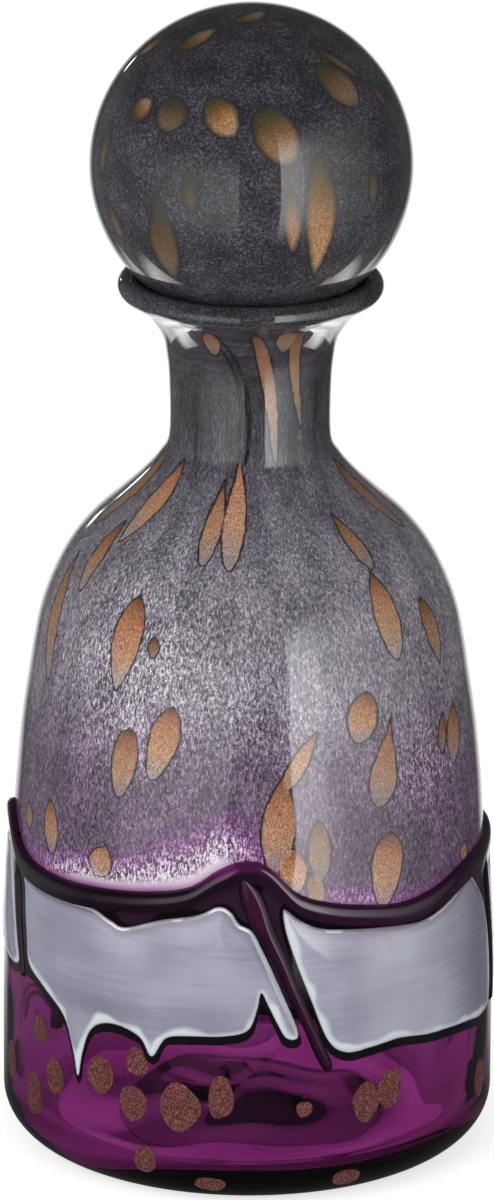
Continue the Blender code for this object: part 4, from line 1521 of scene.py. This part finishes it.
@dataclass(frozen=True)
class Stopper:
    """The stopper: a blown ball of frit glass on a stem that hangs in the neck.

    The levels pair a height from the ball's middle with how pale its frit is.
    """

    radius: float = 0.04565
    wall: float = 0.0032
    spigot: float = 0.0085
    spigot_length: float = 0.007
    stem_length: float = 0.038
    stem_clearance: float = 0.0045
    stem_taper: float = 0.0018
    stem_end: float = 0.004
    stem_draw: float = 0.3
    ball_steps: int = 360
    outer_rows: int = 184
    inner_rows: int = 24
    stem_steps: int = 128
    levels: tuple = ((-0.05, 0.32), (-0.03, 0.35), (0.0, 0.35), (0.035, 0.31))
    contrast: float = 1.3
    flecks: tuple = (
        Fleck((-52.0, 53.6), (-38.4, 68.9), 6.4, 0.5, 0.4),
        Fleck((-39.9, 73.3), (35.0, 84.3), 5.4, 0.5, 0.4),
        Fleck((14.1, 75.8), (43.2, 71.3), 4.2, 0.5, 0.15),
        Fleck((-54.4, 25.0), (-47.2, 34.2), 7.0, 0.5, 0.55, Ends.ROUND),
        Fleck((-34.9, 37.0), (-34.0, 23.9), 10.4, 0.5, 0.22, Ends.ROUND),
        Fleck((-18.9, 38.1), (-6.3, 25.0), 9.6, 0.5, 0.75, Ends.ROUND),
        Fleck((4.6, 35.4), (14.6, 14.6), 12.2, 0.5, 0.5, Ends.ROUND),
        Fleck((38.0, 50.7), (50.0, 31.9), 11.0, 0.55, 0.36, Ends.ROUND),
        Fleck((44.0, 58.9), (60.8, 40.4), 3.6, 0.5, 0.4), Fleck((64.7, 38.3), (68.2, 27.8), 3.6, 0.5, 0.3),
        Fleck((48.7, 10.6), (48.0, -4.9), 4.2, 0.5, 0.25),
        Fleck((24.8, 17.7), (26.0, -29.8), 9.6, 0.42, 1.0, Ends.POINTED),
        Fleck((13.6, 6.4), (15.8, -19.6), 5.4, 0.42, 0.85, Ends.POINTED),
        Fleck((-34.6, 2.6), (-33.1, -32.7), 9.6, 0.55, 0.3, Ends.POINTED),
        Fleck((-23.1, 12.6), (-21.2, -3.1), 4.8, 0.55, 0.12),
        Fleck((-63.5, -5.1), (-56.0, -20.3), 6.0, 0.5, 0.3),
        Fleck((-66.3, 22.7), (-66.6, 1.6), 5.0, 0.5, 0.25),
        Fleck((-76.7, 57.6), (-81.3, 45.4), 5.0, 0.5, 0.6),
        Fleck((73.1, -7.5), (70.4, -25.2), 7.0, 0.5, 0.5),
        Fleck((30.5, -38.2), (35.1, -30.1), 3.4, 0.5, 0.5),
    )  # fmt: skip
    scatters: tuple = (Scatter(21, 14, (92, 268), (-30, 62), 26, 8),)

    @property
    def centre(self) -> float:
        """Where the ball rests on the lip's roll.

        Returns:
            Height of the ball's centre above the foot.
        """
        lip_radius, lip_height = VESSEL.lip_centre
        reach = self.radius + VESSEL.lip_roll + VESSEL.fit_gap
        return lip_height + math.sqrt(reach**2 - lip_radius**2)

    def spine(self, fleck: Fleck) -> np.ndarray:
        """A fleck's middle line on the ball."""
        turn, rise = np.radians(fleck.way())
        return from_round(turn, self.radius * np.cos(rise), self.centre + self.radius * np.sin(rise))

    def dress(self, mesh: bpy.types.Mesh) -> None:
        """Stores how pale and grainy the frit is: darker at the ball's crown, and unlit.

        Args:
            mesh: The mesh of the ball or the stem.
        """
        height = read_points(mesh)[:, 2] - self.centre
        store(mesh, "spot", np.interp(height, *zip(*self.levels)), self.contrast, 0)
        store(mesh, "lit", 0, 0, 0)

    def build_ball(self, finish: bpy.types.Material) -> None:
        """Makes the ball and stores what its finish reads.

        Args:
            finish: The ball's frit glass.
        """
        hole = self.spigot + VESSEL.fit_gap
        inner = self.radius - self.wall
        outer_end, inner_end = (math.degrees(math.acos(hole / size)) for size in (self.radius, inner))
        outside = arc((0, self.centre), self.radius, 90, -outer_end, self.outer_rows)
        inside = arc((0, self.centre), inner, -inner_end, 90, self.inner_rows)
        outline = np.vstack([outside, inside])
        outline[[0, -1], 0] = 0
        mesh = turned("stopper_ball_glass", outline, self.ball_steps)
        store(mesh, "pulled", *(read_points(mesh) - (0, 0, self.centre)).T / MM)
        self.dress(mesh)
        store_flecks(mesh, self.flecks, self.scatters, self.spine)
        place(mesh, finish, Body.STOPPER, ["stopper_ball"])

    def build_stem(self, finish: bpy.types.Material) -> None:
        """Makes the stem, with its spigot in the ball.

        Args:
            finish: The ball's frit glass.
        """
        stem = VESSEL.neck_radius - VESSEL.wall - self.stem_clearance
        seat = self.radius + VESSEL.fit_gap
        foot = self.centre - math.sqrt(seat**2 - self.spigot**2)
        bottom = foot - self.stem_length
        end = stem - self.stem_taper
        seat_angles = np.arccos(np.linspace(self.spigot, stem, 6) / seat)
        outline = np.vstack(
            [
                [(0, foot + self.spigot_length), (self.spigot, foot + self.spigot_length)],
                np.column_stack([seat * np.cos(seat_angles), self.centre - seat * np.sin(seat_angles)]),
                arc((end - self.stem_end, bottom + self.stem_end), self.stem_end, 0, -90, 10),
                [(0, bottom)],
            ]
        )
        mesh = turned("stopper_stem_glass", outline, self.stem_steps)
        store(mesh, "pulled", *(read_points(mesh) * (1, 1, self.stem_draw)).T / MM)
        self.dress(mesh)
        store_flecks(mesh, (), (), self.spine)
        place(mesh, finish, Body.STOPPER, ["stopper_stem"])


@dataclass(frozen=True)
class Studio:
    """A plain pale floor, a white surround, soft lamps and the photograph's camera.

    The camera's rows are pixels of the photograph. A soft box that the gloss shows has its first
    and last degrees from the front, its levels at both, the power between them, and the heights
    of direction where it starts, is full, is full still and ends. A round spot has its direction,
    the degrees out to where it is full and where it ends, and its level. A lamp has its name,
    degrees from the front, height, distance, width and height, and watts.
    """

    distance: float = 2.5
    elevation: float = 18.0
    axis_height: float = 0.172
    axis_row: float = 559.6
    focal_rows: float = 8750.0
    rows: int = 1200
    sensor: float = 24.0
    roll: float = 0.27
    aside_rows: float = 2.4
    floor_colour: str = "#F4F4F4"
    floor_size: float = 6.0
    floor_light: float = 0.65
    dim: float = 0.07
    fill: float = 0.36
    soft_edge: float = 0.01
    boxes: tuple = (
        ((-78, -8.5), (0.3, 1.7), 0.5, (-0.80, -0.31, 0.0, 0.42)),
        ((-150, -78), (0.1, 0.3), 1.0, (-0.80, -0.31, 0.0, 0.42)),
        ((21, 38), (5.4, 4.6), 1.0, (-0.80, -0.31, 0.30, 0.62)),
        ((38, 104), (4.4, 0.1), 0.36, (-0.80, -0.31, 0.30, 0.62)),
        ((-172, -116), (4.2, 4.2), 1.0, (-0.93, -0.84, -0.76, -0.64)),
        ((116, 172), (4.2, 4.2), 1.0, (-0.93, -0.84, -0.76, -0.64)),
        ((-174, -146), (1.5, 1.5), 1.0, (-0.76, -0.66, -0.58, -0.46)),
        ((146, 174), (1.5, 1.5), 1.0, (-0.76, -0.66, -0.58, -0.46)),
    )
    spots: tuple = (((0.0, 0.951, -0.309), 14, 24, 1.0), ((-0.383, 0.920, 0.070), 0.9, 2.1, 8.0))
    near_floor: tuple = (0.16, 0.36)
    near_middle: tuple = (0.0, -0.14, 0.0)
    lamps: tuple = (
        ("soft_box_left", -42, 0.75, 1.5, (1.25, 1.3), 11.5),
        ("strip_box_right", 33, 0.45, 1.5, (0.72, 1.1), 6.2),
    )

    def build_camera(self) -> None:
        """Puts the camera where the photograph was taken from."""
        camera = bpy.data.cameras.new("camera")
        camera.sensor_fit = "VERTICAL"
        camera.sensor_height = self.sensor
        camera.lens = self.sensor * self.focal_rows / self.rows
        camera.clip_end = 50
        eye = bpy.data.objects.new("camera", camera)
        bpy.context.scene.collection.objects.link(eye)
        tilt = math.radians(self.elevation)
        down = tilt + (self.rows / 2 - self.axis_row) / self.focal_rows
        height = self.axis_height + self.distance * math.sin(tilt)
        turn = (
            Matrix.Rotation(self.aside_rows / self.focal_rows, 4, "Z")
            @ Matrix.Rotation(math.pi / 2 - down, 4, "X")
            @ Matrix.Rotation(math.radians(self.roll), 4, "Z")
        )
        eye.matrix_world = Matrix.Translation((0, -self.distance * math.cos(tilt), height)) @ turn
        bpy.context.scene.camera = eye

    def build_floor(self) -> None:
        """Lays the pale floor, which keeps the vase's shadow and looks dim to the gloss nearby."""
        material, node = new_material("pale_floor")
        matt = node("BsdfDiffuse", {"Color": self.floor_colour})
        white = node("Emission", {"Color": WHITE, "Strength": self.floor_light})
        path = node("LightPath").outputs
        seen = node("Math", (path["Is Camera Ray"], path["Is Transmission Ray"]), operation="MAXIMUM")
        direct = node("MixShader", (seen, matt, node("AddShader", (matt, white))))
        place_at = node("TexCoord").outputs["Object"]
        away = node("VectorMath", (place_at, self.near_middle), operation="DISTANCE")
        far = node("MapRange", (away, *self.near_floor), interpolation_type="SMOOTHSTEP")
        shade = node("Emission", {"Color": WHITE, "Strength": self.dim})
        mirrored = node("MixShader", (far, shade, node("BsdfTransparent")))
        gloss = node("Math", (path["Is Glossy Ray"], seen), operation="SUBTRACT", use_clamp=True)
        node("OutputMaterial", [node("MixShader", (gloss, direct, mirrored))])
        shape = bmesh.new()
        bmesh.ops.create_grid(shape, x_segments=1, y_segments=1, size=self.floor_size)
        mesh = finished(shape, "floor")
        mesh.materials.append(material)
        floor = bpy.data.objects.new("floor", mesh)
        bpy.context.scene.collection.objects.link(floor)

    def build_world(self) -> None:
        """Surrounds the vase with white, and with the soft boxes that its gloss shows."""
        world = bpy.data.worlds.new("surround")
        bpy.context.scene.world = world
        world.use_nodes = True
        world.node_tree.nodes.clear()
        node = partial(add, world.node_tree)
        way = node("TexCoord").outputs["Generated"]
        x, y, z = node("SeparateXYZ", [way]).outputs
        front = node("Math", (y, -1.0), operation="MULTIPLY")
        turn = node("Math", (x, front), operation="ARCTAN2")
        total = self.dim
        for edges, levels, power, (start, full, still, end) in self.boxes:
            low, high = (math.radians(edge) for edge in edges)
            across = node("MapRange", (turn, low, high))
            bent = node("Math", (across, power), operation="POWER")
            glow = node("MapRange", (bent, 0.0, 1.0, *levels))
            for part in (
                node("MapRange", (turn, low - self.soft_edge, low + self.soft_edge)),
                node("MapRange", (turn, high + self.soft_edge, high - self.soft_edge)),
                node("MapRange", (z, start, full), interpolation_type="SMOOTHSTEP"),
                node("MapRange", (z, end, still), interpolation_type="SMOOTHSTEP"),
            ):
                glow = node("Math", (glow, part), operation="MULTIPLY")
            total = node("Math", (total, glow), operation="ADD")
        for aim, inner, outer, level in self.spots:
            along = node("VectorMath", (way, Vector(aim).normalized()), operation="DOT_PRODUCT")
            inner, outer = (math.cos(math.radians(angle)) for angle in (inner, outer))
            disc = node("MapRange", (along, outer, inner, 0.0, level))
            total = node("Math", (total, disc), operation="ADD")
        path = node("LightPath").outputs
        seen = node("Math", (path["Is Camera Ray"], path["Is Transmission Ray"]), operation="MAXIMUM")
        plain = node("Mix", {0: path["Is Glossy Ray"], 2: self.fill, 3: total})
        strength = node("Mix", {0: seen, 2: plain, 3: 1.0})
        node("OutputWorld", [node("Background", {"Color": WHITE, "Strength": strength})])

    def lamp(
        self, name: str, azimuth: float, height: float, distance: float, size: tuple, power: float
    ) -> None:
        """Hangs a soft box that faces the vase.

        Args:
            name: The lamp's name.
            azimuth: Degrees from the front, to the right.
            height: Height of its middle.
            distance: How far out it stands.
            size: Its width and height.
            power: Its power in watts.
        """
        light = bpy.data.lights.new(name, "AREA")
        light.shape = "RECTANGLE"
        light.size, light.size_y = size
        light.energy = power
        lamp = bpy.data.objects.new(name, light)
        angle = math.radians(azimuth)
        place_at = Vector((distance * math.sin(angle), -distance * math.cos(angle), height))
        aim = (Vector((0, 0, self.axis_height)) - place_at).to_track_quat("-Z", "Z")
        lamp.matrix_world = Matrix.Translation(place_at) @ aim.to_matrix().to_4x4()
        lamp.visible_glossy = False
        bpy.context.scene.collection.objects.link(lamp)

    def build(self) -> None:
        """Makes the floor, the surround, the lamps and the camera."""
        self.build_floor()
        self.build_world()
        for lamp in self.lamps:
            self.lamp(*lamp)
        self.build_camera()
        bpy.context.scene.view_settings.view_transform = "Standard"


def main() -> None:
    """Builds the vase, piece by piece, and the studio round it."""
    logging.basicConfig(level=logging.INFO, format="%(name)s: %(message)s")
    frit = FritBottle()
    stopper = Stopper()
    amethyst = AmethystGlass().build()
    trails = DarkAmethystGlass().build()
    opal = OpalGlass().build()
    frit.build(FritGlass("smoke_frit_glass_body").build())
    # The roll's thin colour is a painted magenta glow.
    roll = DarkAmethystGlass("amethyst_roll_glass", thin="#6A1A5E", gloss=1.0).build()
    AmethystCup().build(amethyst, roll, frit)
    OpalPatches().build(opal)
    AmethystTrails().build(trails)
    BaseFlecks().build(Aventurine().build())
    ball_glass = FritGlass(
        "smoke_frit_glass_ball",
        flake_size=0.7,
        flake_draw=1.0,
        copper=((0.0, "#2B2C22"), (0.3, "#6C5230"), (0.58, "#A87A4C"), (0.85, "#CCA47C"), (1.0, "#9A8474")),
        olive="#343632",
        line="#2A2C2A",
        halo=1.7,
        gloss=0.75,
    ).build()
    stopper.build_ball(ball_glass)
    stopper.build_stem(ball_glass)
    Studio().build()


if __name__ == "__main__":
    main()
